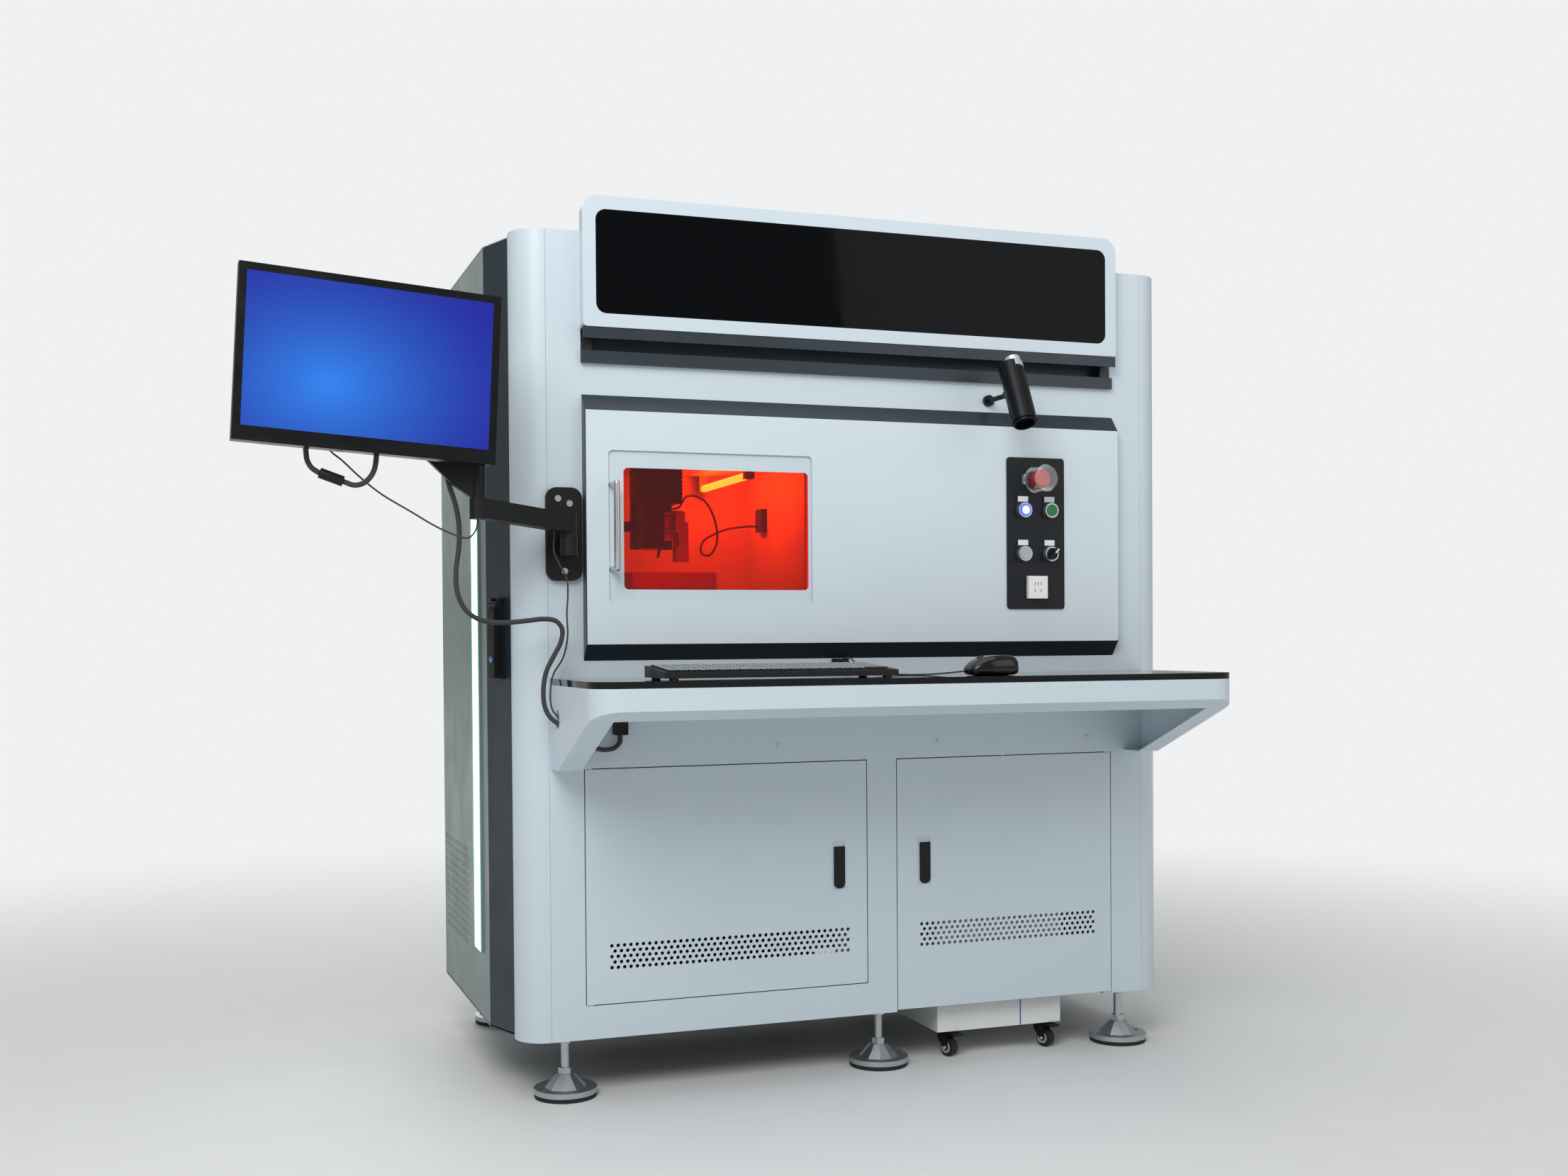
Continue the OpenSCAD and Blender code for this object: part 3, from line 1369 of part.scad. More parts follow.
module left_side_door() {
  color(silver_paint) placed() side_door_left();
}

module right_side_door() {
  color(silver_paint) placed() side_mirror(1) side_door_left();
}

module light_strip_left() {
  translate([-side_out - strip_t, strip_y, z_low + strip_margin])
    cube([strip_t, strip_w, cab_h - 2 * strip_margin]);
}

module left_light_strip() {
  color("#F4FFF8") placed() light_strip_left();
}

module right_light_strip() {
  color("#F4FFF8") placed() side_mirror(1) light_strip_left();
}

// Draws children with x normal to the slate strip, y along its width and z up from the handle's foot
module lever_frame() {
  mid = [-(strip_out + side_out) / 2, (strip_y0 + strip_y1) / 2] - lever_off * strip_dir;
  turn = atan((side_out - strip_out) / (strip_y1 - strip_y0));
  translate([mid[0], mid[1], lever_z]) rotate([0, 0, turn]) children();
}

module swing_lever_left() {
  lever_frame() difference() {
    union() {
      box(-lever_out, -lever_base_t - seat, -lever_w / 2, lever_w / 2, sheet, lever_pin_z - lever_neck);
      translate([0, lever_w / 2, 0]) rotate([90, 0, 0]) linear_extrude(lever_w)
        polygon([[-lever_out, lever_pin_z - lever_neck], [-lever_pin_x - seat, lever_pin_z + lever_head_r],
          [lever_head_r - lever_pin_x, lever_pin_z], [-lever_base_t - seat, lever_pin_z - lever_neck]]);
      rod_y(-lever_pin_x, lever_pin_z, -lever_w / 2, lever_w / 2, lever_head_r);
      rod_x(0, lock_z, -lever_out - lock_t, -lever_out + eps, lock_r);
    }
    rod_y(-lever_pin_x, lever_pin_z, -lever_w, lever_w, lever_pin_r + run);
  }
}

module left_swing_lever() {
  color(black_plastic) placed() swing_lever_left();
}

module right_swing_lever() {
  color(black_plastic) placed() side_mirror(1) swing_lever_left();
}

/* Lower doors: folded pans with vent holes and a latch housing */
module vents(x0, z0, n) {
  for (j = [0:4], i = [0:n - 1 - (j % 2)])
    translate([x0 + i * vent_pitch + (j % 2) * vent_pitch / 2, 0, z0 + j * vent_row])
      rod_y(0, 0, -eps, sheet + eps, vent_d / 2);
}

module door_pan(x0, w, z0, z1, hinge_x) {
  difference() {
    box(x0, x0 + w, 0, door_fold, z0, z1);
    box(x0 + sheet, x0 + w - sheet, sheet, door_fold + eps, z0 + sheet, z1 - sheet);
    rod_z(hinge_x, pin_y, z0 - eps, pin_r + run, z1 - z0 + 2 * eps);
  }
}

// Black housing round the latch lever, on the door's face, with the lever's pin
module latch_housing(x0, z0) {
  difference() {
    box(x0, x0 + latch_w, -latch_rim, 0, z0, z0 + latch_h);
    box(x0 + latch_rim, x0 + latch_w - latch_rim, -latch_rim - eps, eps, z0 + latch_rim,
      z0 + latch_h - latch_rim);
  }
  rod_x(-latch_pin_y, z0 + latch_h - latch_top, x0 + eps, x0 + latch_w - eps, latch_t / 4 - run);
}

latch_rim = 2;
latch_t = 3.4;
latch_top = 10;
latch_pin_y = latch_t / 2 + seat;
latch_in = 46;
latch_z = 255;
vent_z = 133;

module left_door() {
  z0 = z_low + ldoor_z;
  lx = ldoor_x + ldoor_w - latch_in - latch_w;
  color(white_paint) placed() {
    difference() {
      door_pan(ldoor_x, ldoor_w, z0, z_low + door_top, ldoor_x + pin_x);
      vents(ldoor_x + lvent_x, z_low + vent_z, lvent_n);
    }
    latch_housing(lx, z_low + latch_z);
  }
}

module right_door() {
  z0 = z_low + rdoor_z;
  color(white_paint) placed() {
    difference() {
      door_pan(rdoor_x, rdoor_w, z0, z_low + door_top, rdoor_x + rdoor_w - pin_x);
      vents(rdoor_x + rvent_x, z_low + vent_z, rvent_n);
    }
    latch_housing(rdoor_x + latch_in, z_low + latch_z);
  }
}

// Latch lever: flat paddle with a half-round push tab at its lower end, hinged at the top
module latch_lever(x0) {
  x1 = x0 + latch_w / 2;
  w = latch_w - 2 * latch_rim - 2 * seat;
  z0 = z_low + latch_z;
  zp = z0 + latch_h - latch_top;
  color(black_plastic) placed() difference() {
    union() {
      box(x1 - w / 2, x1 + w / 2, -latch_t - seat, -seat, z0 + latch_rim + w / 2, zp);
      rod_x(-latch_pin_y, zp, x1 - w / 2, x1 + w / 2, latch_t / 2);
      rod_y(x1, z0 + latch_rim + seat + w / 2, -latch_t - seat, -seat, w / 2);
    }
    rod_x(-latch_pin_y, zp, x1 - w, x1 + w, latch_t / 4);
  }
}

module left_latch() {
  latch_lever(ldoor_x + ldoor_w - latch_in - latch_w);
}

module right_latch() {
  latch_lever(rdoor_x + latch_in);
}

/* Sliding window */
module window_door() {
  color(white_paint) placed() upright(-door_front, sheet) difference() {
    translate([win_x0 - door_lap, win_z0 - door_lap]) square([win_w + 2 * door_lap, win_h + 2 * door_lap]);
    round_rect(win_x0 + pane_left, win_z0 + pane_low, win_w - pane_left - pane_right,
      win_h - pane_low - pane_high, win_r);
  }
}

module window_pane() {
  color("#E0100CA0") placed() upright(-door_front + sheet, pane_t)
    round_rect(win_x0 + pane_left - pane_lap, win_z0 + pane_low - pane_lap,
      win_w - pane_left - pane_right + pane_lap * 1.5, win_h - pane_low - pane_high + 2 * pane_lap, win_r);
}

module window_handle() {
  x = win_x0 + handle_in;
  zc = win_z0 + win_h / 2;
  r = handle_d / 2;
  y = -door_front - handle_out;
  color("#C9CDD0") placed() {
    rod_z(x, y, zc - handle_l / 2, r, handle_l);
    for (s = [-1, 1]) {
      translate([x, y, zc + s * handle_l / 2]) sphere(r);
      rod_y(x, zc + s * handle_l / 2, y, -door_front, r);
    }
  }
}

/* Levelling feet: rods and nuts, discs with anchor holes, rubber pads */
module at_feet() {
  for (x = [frame_inset, frame_mid_x, frame_x1], y = [foot_y0, rear_foot_y])
    translate([x, y, 0]) children();
}

module hex_nut(z) {
  translate([0, 0, z]) cylinder(d = nut_w / cos(30), h = nut_h, $fn = 6);
}

module levelling_feet() {
  cone_h = 25;
  cone_r = 40;
  rim_h = 10;
  boss_r = 16.5;
  color(steel_colour) placed() at_feet() {
    difference() {
      union() {
        translate([0, 0, pad_t]) cylinder(d = foot_disc_d, h = rim_h);
        translate([0, 0, pad_t + rim_h]) cylinder(r1 = cone_r, r2 = boss_r, h = cone_h, $fn = 10);
      }
      for (s = [-1, 1]) rod_z(s * anchor_pitch / 2, 0, -eps, anchor_hole_d / 2, foot_h);
    }
    rod_z(0, 0, pad_t + rim_h + cone_h, foot_rod_d / 2, foot_h + tube / 2 - pad_t - rim_h - cone_h);
    hex_nut(pad_t + rim_h + cone_h);
    hex_nut(frame_z - nut_h);
  }
}

module foot_pads() {
  color("#101112") placed() at_feet() difference() {
    cylinder(d = foot_disc_d - sheet, h = pad_t);
    for (s = [-1, 1]) rod_z(s * anchor_pitch / 2, 0, -eps, anchor_hole_d / 2, foot_h);
  }
}

/* Keyboard and mouse on the console */
module keyboard() {
  x1 = kb_x + kb_w;
  color(black_plastic) placed() {
    along_x(kb_x, kb_w) polygon([[-kb_y, shelf_top + kb_foot], [-kb_y, shelf_top + kb_front_h],
      [kb_d - kb_y, shelf_top + kb_rear_h], [kb_d - kb_y, shelf_top + kb_foot]]);
    for (i = [0:key_cols - 1], j = [0:key_rows - 1])
      translate([kb_x + kb_rim + i * key_pitch, -kb_y + kb_rim + j * key_pitch, shelf_top + kb_front_h
        + (kb_rear_h - kb_front_h) * (kb_rim + key_pitch * (j + 1)) / kb_d - eps])
        cube([key_w, key_w, key_h]);
    for (x = [kb_x + key_pitch, x1 - key_pitch], y = [-kb_y + kb_rim, kb_d - kb_y - kb_rim])
      rod_z(x, y, shelf_top, key_w / 2, kb_foot + eps);
  }
}

module mouse() {
  shares = [[-0.5, 0.5, 0.5], [-0.15, 0.62, 1], [0.5, 0.5, 0.55]];
  color(black_plastic) placed() translate([mouse_x, -mouse_y, shelf_top]) {
    intersection() {
      translate([0, 0, -mouse_h]) hull() for (s = shares)
        translate([s[0] * (mouse_l - mouse_w * s[1]), 0, mouse_h])
          scale([2 * s[1], 1, 2 * s[2] * mouse_h / mouse_w]) sphere(mouse_w / 2, $fn = 24);
      box(-mouse_l / 2, mouse_l / 2, -mouse_w / 2, mouse_w / 2, 0, mouse_h);
    }
  }
}

/* Chiller */
module caster_xy(i, j) {
  translate([chill_x + (i ? chill_w - caster_in_x : caster_in_x),
    chill_y + (j ? chill_d - caster_in_y : caster_in_y), 0]) children();
}

module chiller_case() {
  side_t = 2;
  grille_n = 14;
  grille_pitch = 22;
  color("#D9DEDC") placed() {
    difference() {
      box(chill_x, chill_x + chill_w, chill_y, chill_y + chill_d, chill_z, chill_z + chill_h);
      for (i = [0:grille_n - 1], s = [0, 1])
        translate([s ? chill_x + chill_w - side_t : chill_x - eps, chill_y + chill_d / 3,
          chill_z + chill_h / 4 + i * grille_pitch])
          cube([side_t + eps, chill_d / 2, grille_pitch / 2]);
      for (i = [0, 1]) caster_xy(i, 0) rod_z(0, 0, chill_z - eps, axle_r + run, stem_l + 2 * eps);
      for (i = [0, 1]) rod_y(chill_x + chill_w * (0.3 + 0.4 * i), chill_z + chill_h / 3,
        chill_y + chill_d - stem_l, chill_y + chill_d + eps, wheel_w / 2);
    }
    for (i = [0, 1]) caster_xy(i, 1) {
      box(-rear_bracket_w / 2, rear_bracket_w / 2, -rear_bracket_w / 2, rear_bracket_w / 2,
        chill_z - caster_plate_t, chill_z);
      for (s = [-1, 1]) translate([s * (wheel_w / 2 + fork_gap + fork_t / 2), 0, 0]) difference() {
        union() {
          box(-fork_t / 2, fork_t / 2, -rear_bracket_w / 4, rear_bracket_w / 4, wheel_z,
            chill_z - caster_plate_t + eps / 2);
          rod_x(0, wheel_z, -fork_t / 2, fork_t / 2, rear_bracket_w / 4);
        }
        rod_x(0, wheel_z, -fork_t, fork_t, axle_r + run);
      }
    }
  }
}

// Swivel fork with its stem, side plates and brake pedal; the wheel hangs out to the front
module swivel_fork(i) {
  top = chill_z - seat;
  color(black_plastic) placed() caster_xy(i, 0) rotate([0, 0, swivel]) {
    rod_z(0, 0, top - caster_plate_t, axle_r, stem_l + caster_plate_t);
    difference() {
      union() {
        rod_z(0, 0, top - caster_plate_t, caster_plate / 2, caster_plate_t);
        for (s = [-1, 1]) translate([s * (wheel_w / 2 + fork_gap + fork_t / 2), 0, 0]) {
          along_x(-fork_t / 2, fork_t) polygon([[caster_plate / 3, top - caster_plate_t + seat],
            [-caster_plate / 3, top - caster_plate_t + seat], [-fork_trail - axle_r * 2, wheel_z],
            [-fork_trail + axle_r * 2, wheel_z - axle_r], [caster_plate / 3, wheel_z + wheel_d / 2]]);
          rod_x(-fork_trail, wheel_z, -fork_t / 2, fork_t / 2, axle_r * 2);
        }
        along_x(-wheel_w / 2 - fork_gap - fork_t, wheel_w + 2 * fork_gap + 2 * fork_t)
          polygon([[-caster_plate / 4, top - caster_plate_t + seat],
            [-caster_plate / 2 - brake_l, top - caster_plate_t - brake_t],
            [-caster_plate / 2 - brake_l, top - caster_plate_t - 2 * brake_t],
            [-caster_plate / 4, top - caster_plate_t - brake_t]]);
      }
      rod_x(-fork_trail, wheel_z, -wheel_d, wheel_d, axle_r + run);
      rod_x(-fork_trail, wheel_z, -wheel_w / 2 - fork_gap, wheel_w / 2 + fork_gap, wheel_d / 2 + seat);
    }
  }
}

module front_left_fork() {
  swivel_fork(0);
}

module front_right_fork() {
  swivel_fork(1);
}

module caster_wheel() {
  half = wheel_w / 2 + fork_gap + fork_t;
  hub_gap = fork_gap / 2;
  rod_x(0, wheel_z, -wheel_w / 2, wheel_w / 2, wheel_d / 2);
  rod_x(0, wheel_z, -wheel_w / 2 - hub_gap, wheel_w / 2 + hub_gap, wheel_d / 4);
  rod_x(0, wheel_z, -half - sheet, half + sheet, axle_r);
}

module front_wheel(i) {
  caster_xy(i, 0) rotate([0, 0, swivel]) translate([0, -fork_trail, 0]) caster_wheel();
}

module front_left_wheel() {
  color("#1B1C1E") placed() front_wheel(0);
}

module front_right_wheel() {
  color("#1B1C1E") placed() front_wheel(1);
}

module rear_wheels() {
  color("#1B1C1E") placed() {
    for (i = [0, 1]) caster_xy(i, 1) caster_wheel();
    rod_x(chill_y + chill_d - caster_in_y, wheel_z, chill_x + caster_in_x,
      chill_x + chill_w - caster_in_x, axle_r);
  }
}

/* Cables with the ferrite, the cord outlet of the desk and the junction box under the console */
module arm_cables() {
  a = loop_route[4];
  b = loop_route[5];
  desk = keys_route[4];
  feed = main_route[len(main_route) - 1];
  color(black_plastic) placed() {
    swept(main_route, main_r, 10);
    swept(loop_route, main_r, 10);
    swept([a + (b - a) * ferrite_share, b - (b - a) * ferrite_share], ferrite_r, 12);
    swept(thin_route, thin_r, 8);
    swept(drop_route, thin_r, 8);
    swept(keys_route, thin_r, 8, [0, 0, 1]);
    swept(mouse_route, thin_r, 8, [0, 0, 1]);
    swept(head_route, thin_r * 1.5, 8);
    translate([desk[0] - outlet_box[0] / 3, desk[1] + seat, desk[2] - outlet_box[2] / 2])
      cube([outlet_box[0], -desk[1] - seat, outlet_box[2]]);
    translate([feed[0] - feed_box[0] / 2, -sheet - feed_box[1], feed[2] + seat]) cube(feed_box);
  }
}

base_frame();
hinge_pins();
front_fascia();
corner_columns();
top_cover();
rear_panel();
sign_housing();
sign_glass();
louvre();
panel_face();
panel_trims();
chamber_liner();
tube_light();
stage_base();
console_shelf();
shelf_glass();
fixing_screws();
arm_wall_plate();
control_plate();
button_bezels();
mains_socket();
levelling_feet();
foot_pads();
keyboard();
mouse();
left_side_door();
left_light_strip();
left_swing_lever();
right_side_door();
right_light_strip();
right_swing_lever();
left_door();
left_latch();
right_door();
right_latch();
window_door();
window_pane();
window_handle();
stop_button();
stop_cover();
blue_button();
green_button();
white_button();
selector_knob();
lamp_arm();
lamp_body();
arm_link();
arm_riser();
monitor_case();
monitor_screen();
z_carriage();
y_saddle();
x_table();
chiller_case();
front_left_fork();
front_left_wheel();
front_right_fork();
front_right_wheel();
rear_wheels();
arm_cables();
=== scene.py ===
import math

import bmesh
import bpy
from bpy.props import FloatProperty, FloatVectorProperty, PointerProperty
from mathutils import Matrix, Vector


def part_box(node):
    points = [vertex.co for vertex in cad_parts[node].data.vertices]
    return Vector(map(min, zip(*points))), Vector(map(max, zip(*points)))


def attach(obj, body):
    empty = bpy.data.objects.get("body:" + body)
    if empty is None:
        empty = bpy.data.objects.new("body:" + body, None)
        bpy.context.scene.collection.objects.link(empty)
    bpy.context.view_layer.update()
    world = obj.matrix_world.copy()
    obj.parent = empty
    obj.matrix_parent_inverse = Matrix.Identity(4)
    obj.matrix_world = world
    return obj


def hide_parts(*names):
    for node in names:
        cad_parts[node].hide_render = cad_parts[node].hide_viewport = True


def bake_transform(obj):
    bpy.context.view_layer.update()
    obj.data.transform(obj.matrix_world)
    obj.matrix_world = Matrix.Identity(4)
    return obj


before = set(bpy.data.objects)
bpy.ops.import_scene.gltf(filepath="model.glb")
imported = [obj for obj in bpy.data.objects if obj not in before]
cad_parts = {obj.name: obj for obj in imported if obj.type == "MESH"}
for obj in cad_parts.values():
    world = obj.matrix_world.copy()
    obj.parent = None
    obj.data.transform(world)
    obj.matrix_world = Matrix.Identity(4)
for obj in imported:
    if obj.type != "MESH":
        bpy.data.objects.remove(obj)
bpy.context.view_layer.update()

bl_info = {
    "name": "Laser Cutting Machine",
    "version": (1, 0, 0),
    "blender": (4, 5, 0),
    "location": "View3D > Sidebar > Laser Machine",
    "description": "Finishes, cables and small fittings of an enclosed laser cutting machine",
    "category": "Object",
}

# Millimetres from the cabinet's left front seam, on the floor
CABINET_MIDDLE = 637.5
CABINET_REAR = 746.0
SHIFT_X = CABINET_MIDDLE - 500 * (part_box("corner_columns")[0][0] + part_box("corner_columns")[1][0])
SHIFT_Y = CABINET_REAR - 1000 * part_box("rear_panel")[1][1]

# Cable routes, as in the part's source: x right, y back, z up
MAIN_ROUTE = [
    (-206, -137, 1156), (-200, -137, 1132), (-190, -134, 1102), (-184, -128, 1068), (-183, -120, 1032),
    (-187, -112, 992), (-185, -106, 955), (-172, -99, 925), (-148, -92, 906), (-118, -85, 899),
    (-86, -79, 899), (-54, -73, 902), (-24, -68, 905), (0, -64, 902), (13, -62, 886), (10, -61, 862),
    (-2, -59, 838), (-16, -58, 810), (-22, -58, 778), (-20, -58, 746), (-8, -59, 723), (16, -60, 706),
    (48, -54, 683), (82, -38, 664), (114, -20, 661), (131, -14, 671), (133, -14, 687)]
LOOP_ROUTE = [
    (-446, -189, 1255.6), (-446, -190, 1226), (-446, -190, 1188), (-442, -188, 1164), (-426, -187, 1149),
    (-384, -187, 1134), (-366, -187, 1129), (-348, -188, 1136), (-334, -189, 1158), (-330, -190, 1200),
    (-330, -189, 1249)]
THIN_ROUTE = [
    (-420, -186, 1254.2), (-418, -186, 1205), (-404, -184, 1184), (-386, -181, 1170), (-356, -175, 1143),
    (-320, -168, 1116), (-272, -161, 1089), (-228, -157, 1064), (-190, -154, 1048), (-170, -151, 1046),
    (-158, -150, 1060), (-154, -150, 1078)]
DROP_ROUTE = [
    (2, -54, 1066), (1, -53, 1030), (12, -49, 1006), (26, -46, 980), (28, -45, 950), (26, -44, 915),
    (27, -44, 872), (18, -45, 834), (-2, -49, 802), (-8, -52, 764), (-4, -54, 737), (12, -56, 720)]
KEYS_ROUTE = [(560, -157.3, 808), (562, -140, 818), (568, -100, 828), (574, -50, 826), (580, -9, 820)]
MOUSE_ROUTE = [(733, -258, 803), (690, -200, 797), (640, -150, 797), (600, -60, 806), (592, -9, 820)]
HEAD_ROUTE = [
    (330, 314, 1140.7), (352, 325, 1146.5), (362, 332, 1158), (376, 344, 1172), (404, 362, 1174),
    (434, 382, 1160), (458, 402, 1124), (468, 420, 1082), (456, 434, 1053), (438, 442, 1058),
    (448, 450, 1086), (500, 470, 1110), (556, 510, 1121), (594, 538, 1125), (612, 538, 1125)]

# Thicknesses of the cables and of the ferrite, and the share of its stretch left free at each end
MAIN_CORD_D = 9.0
THIN_CORD_D = 3.2
HEAD_CORD_D = 4.8
FERRITE_D = 18.0
FERRITE_FREE_SHARE = 0.04

# Width and height of the desk's cord outlet, and width, depth and height of the junction box
OUTLET_BOX = (34.0, 13.0)
JUNCTION_BOX = (24.0, 28.0, 34.0)

# The console's sheet, and the gap between a small box and what it sits on
SHEET = 2.0
SEAT = 0.3

# Points of the routes between which a cable bends, or which the ferrite lies between
MAIN_BEND = (14, 4)
THIN_BEND = (8, 2)
FERRITE_SPAN = (4, 5)

# Work lamp: its tilting pivot, its tilt in degrees, where its silver neck and half sleeve start above
# the pivot, and how far left of the pivot the sleeve reaches
LAMP_PIVOT = (917.0, -88.0, 1350.0)
LAMP_TILT = 26.0
LAMP_NECK_UP = 46.7
LAMP_SLEEVE_UP = 34.0
LAMP_SLEEVE_LEFT = 3.0

# Slanted front strip of the side doors, and how far the handle's base stands out of it
STRIP_OUT = 54.0
STRIP_START = 88.0
STRIP_SLOPE = 30.0 / 88.0
HANDLE_PROUD = 0.6

# Boxes inside which a finish changes, each given by two corners
# Behind the louvre the fascia is painted near black: painted shade of the deep vent slot
VENT_SLOT_SHADE = ((66.5, -1.0, 1388.0), (1202.5, 1.2, 1448.0))
PANEL_RIGHT_EDGE = ((1204.0, -25.0, 860.0), (1209.0, 1.0, 1295.0))
SIDE_STRIP = ((-200, 80, 0), (1500, 176.5, 1700))
HANDLE_BASE = ((-200, 90, 780), (1500, 174, 965))
CHAMBER_SOCKET = ((605.5, 515, 1110), (619.6, 561, 1166))
CHILLER_STRIPE = ((1001, 20, 54), (1004, 33.5, 570))
# Inside the socket's slots the resin is painted near black: painted shade
SOCKET_SLOT_SHADE = ((994, -80, 950), (1030, 0, 987))
RED_KEYS = ((520, -290, 790), (570, -262, 830))
LABEL_HOLDERS = ((900, -28.55, 900), (1120, -27.05, 1250))
LABELS = ((900, -29.6, 900), (1120, -28.6, 1250))
GRIP_RIBS = ((-200, 0, 796), (1500, 260, 812))
BEZEL_LINES = ((-600, -260, 1160), (-100, -190, 1196))
BED_RAILS = ((150, 110, 934.5), (480, 610, 960))
BRIGHT_OPTICS = ((314, 290, 1020), (380, 360, 1145))
# A pure black line on the mouse stands for the shade in the gap between its buttons
MOUSE_GAP_SHADE = ((700, -262.6, 800), (770, -261.4, 860))

# Depth at which the mains socket's slots turn dark with painted shade, the keyboard's rise to its rear and
# its key tops
SLOT_SHADE_DEPTH = 1.2
KEYBOARD_RISE = 10.0
KEY_LEVEL = 17.1

# Width of the safety pane's rim that carries a painted glow, and the holders at the ends of the chamber's
# tube
PAINTED_GLOW_RIM = 6.0
TUBE_HOLDER = 20.0

# Shares of the casters' radius that the light wheel body and the silver axle take
CASTER_BODY_SHARE = 0.66
CASTER_AXLE_SHARE = 0.22

# From and to where the side strips are lit, measured from the cabinet's front, and how far inside and
# outside these edges the light and the painted green gleam on its frame fade
LIT_FROM = 252.0
LIT_TO = 314.5
LIGHT_FADE = (-2.0, 1.0)
PAINTED_GLEAM_FADE = (-4.0, 12.0)

# Shares of the blue lens's radius between which it turns from nearly white to deep blue
LENS_RIM_SHARES = (0.3, 0.95)

# Bellows over the vertical axis: its block, its folds, how far they stand out, and the shares of
# their pitch that the gap beside each fold and its rounded edge take
BELLOWS = ((263.0, 298.0, 1153.0), (351.0, 372.0, 1245.0))
BELLOWS_FOLDS = 11
FOLD_OUT = 3.0
FOLD_GAP_SHARE = 0.02
FOLD_EDGE_SHARE = 0.46

# Pointer of the selector: half its width across the grip, where it starts along it, and its depth
POINTER_HALF = 2.4
POINTER_START = 3.0
POINTER_DEEP = 6.0

# Locks of the swing handles: from the middle of the left slanted strip, which runs back and outward,
# forward along it, then out
LOCK_STRIP_MIDDLE = (-69.0, 132.0, 831.0)
LOCK_STRIP_RUN = (-30.0, 88.0, 0.0)
LOCK_FORWARD = 11.0
LOCK_OUT = 22.9
LOCK_RING_RADIUS = 6.4
LOCK_BARREL_RADIUS = 5.0
LOCK_BARREL_HEIGHT = 1.2

# Mouse: shares of its size that its top and its corners keep, where the corners start, and where its
# low end starts and how far it falls; then its wheel, from the low end and from the top
MOUSE_TOP_SHARES = (0.86, 0.72, 1)
MOUSE_CORNER_SHARES = (0.94, 0.8, 1)
MOUSE_CORNER_START_SHARES = (0.4, 0.3)
MOUSE_LOW_START_SHARE = -0.2
MOUSE_FALL_SHARE = -0.34
MOUSE_WHEEL_FROM_END = 30.0
MOUSE_WHEEL_RADIUS = 10.0
MOUSE_WHEEL_WIDTH = 7.0
MOUSE_WHEEL_SUNK = 7.2

# Less mirror shine than the default, for black plastics
DULL = {"Specular IOR Level": 0.3}

# Camera of the photograph, in the same millimetres, and its picture
CAMERA_AT = (-645.67, -3027.0, 861.71)
CAMERA_YAW = 19.627
CAMERA_DOWN = 0.919
CAMERA_ROLL = -0.414
FOCAL_PIXELS = 2319.70
CENTRE_PIXEL = (1082.56, 941.77)
PICTURE = (2212, 1659)
SENSOR = 36.0

# Studio in metres: soft lights by name, place, size and power, the floor, the view and the backdrop
SOFTBOXES = (
    ("key_softbox", (-1.8, -3.0, 3.4), 2.2, 118), ("fill_softbox", (3.0, -3.4, 2.6), 3.0, 26),
    ("top_softbox", (0.0, -0.4, 4.4), 3.5, 50), ("back_softbox", (0.5, 4.0, 2.6), 3.0, 46))
LIGHTS_AIM = (0, 0, 1.2)
FLOOR_SIZE = 40
FLOOR_LEVEL = -0.0005
FLOOR_FADE = (0.9, 4.2)
VIEW_DEPTH = 100
BACKDROP = "#F4F5F6"
BACKDROP_GLOW = 0.96
SKY_FILL = 0.34

# A wave texture of scale 1 turns through this many radians in one unit
WAVE_RATE = 20.0

# Edges less sharp than this many degrees are shaded smooth, and faces this much alike look one way
SMOOTH_ANGLE = 35
SAME_WAY = 0.9


def at(x, y, z):
    """A place in millimetres from the left front seam, as metres in the frame."""
    return Vector(((x - SHIFT_X) / 1000, (y - SHIFT_Y) / 1000, z / 1000))


def linear(colour):
    """A hex sRGB colour as linear red, green, blue and alpha."""
    parts = [int(colour[k:k + 2], 16) / 255 for k in (1, 3, 5)]
    return tuple(c / 12.92 if c <= 0.04045 else ((c + 0.055) / 1.055) ** 2.4 for c in parts) + (1.0,)


def looks():
    """The colours and strengths that the panel offers."""
    return bpy.context.scene.laser_machine


def colour_choice(name, description, colour):
    """A colour that the panel offers."""
    return FloatVectorProperty(name=name, description=description, subtype="COLOR", size=4, min=0, max=1,
                               default=linear(colour))


class MachineLooks(bpy.types.PropertyGroup):
    """Colours and sizes of the machine's finish"""
    cabinet_colour: colour_choice("Cabinet", "Powder coat of the cabinet's front and columns", "#C3D0D8")
    trim_colour: colour_choice("Trim", "Dark powder coat round the front panel", "#1F2C35")
    # Silver paint darkened and tinted green: painted shade of the shaded side and painted green light of the
    # strip lamps
    side_silver_and_shade_colour: colour_choice("Side doors", "Silver paint of the side doors", "#7F908E")
    window_colour: colour_choice("Window", "Tint of the laser-safe pane", "#FF2C0A")
    lamp_strength: FloatProperty(
        name="Strip light", description="Glow of the light strips on the side doors",
        default=2.4, min=0, max=10)
    tube_strength: FloatProperty(
        name="Chamber tube", description="Glow of the tube in the work chamber",
        default=42.0, min=0, max=100)
    ring_width: FloatProperty(
        name="Lock ring", description="Thickness of the coloured ring round each lock",
        subtype="DISTANCE", unit="LENGTH", default=0.0012, min=0.0005, max=0.002)


def add(tree, kind, links=None, values=None, **settings):
    """Add a node with its settings, the values of its sockets and the links into them."""
    node = tree.nodes.new(kind)
    for key, value in settings.items():
        setattr(node, key, value)
    for key, value in (values or {}).items():
        node.inputs[key].default_value = value
    for key, socket in (links or {}).items():
        tree.links.new(socket, node.inputs[key])
    return node


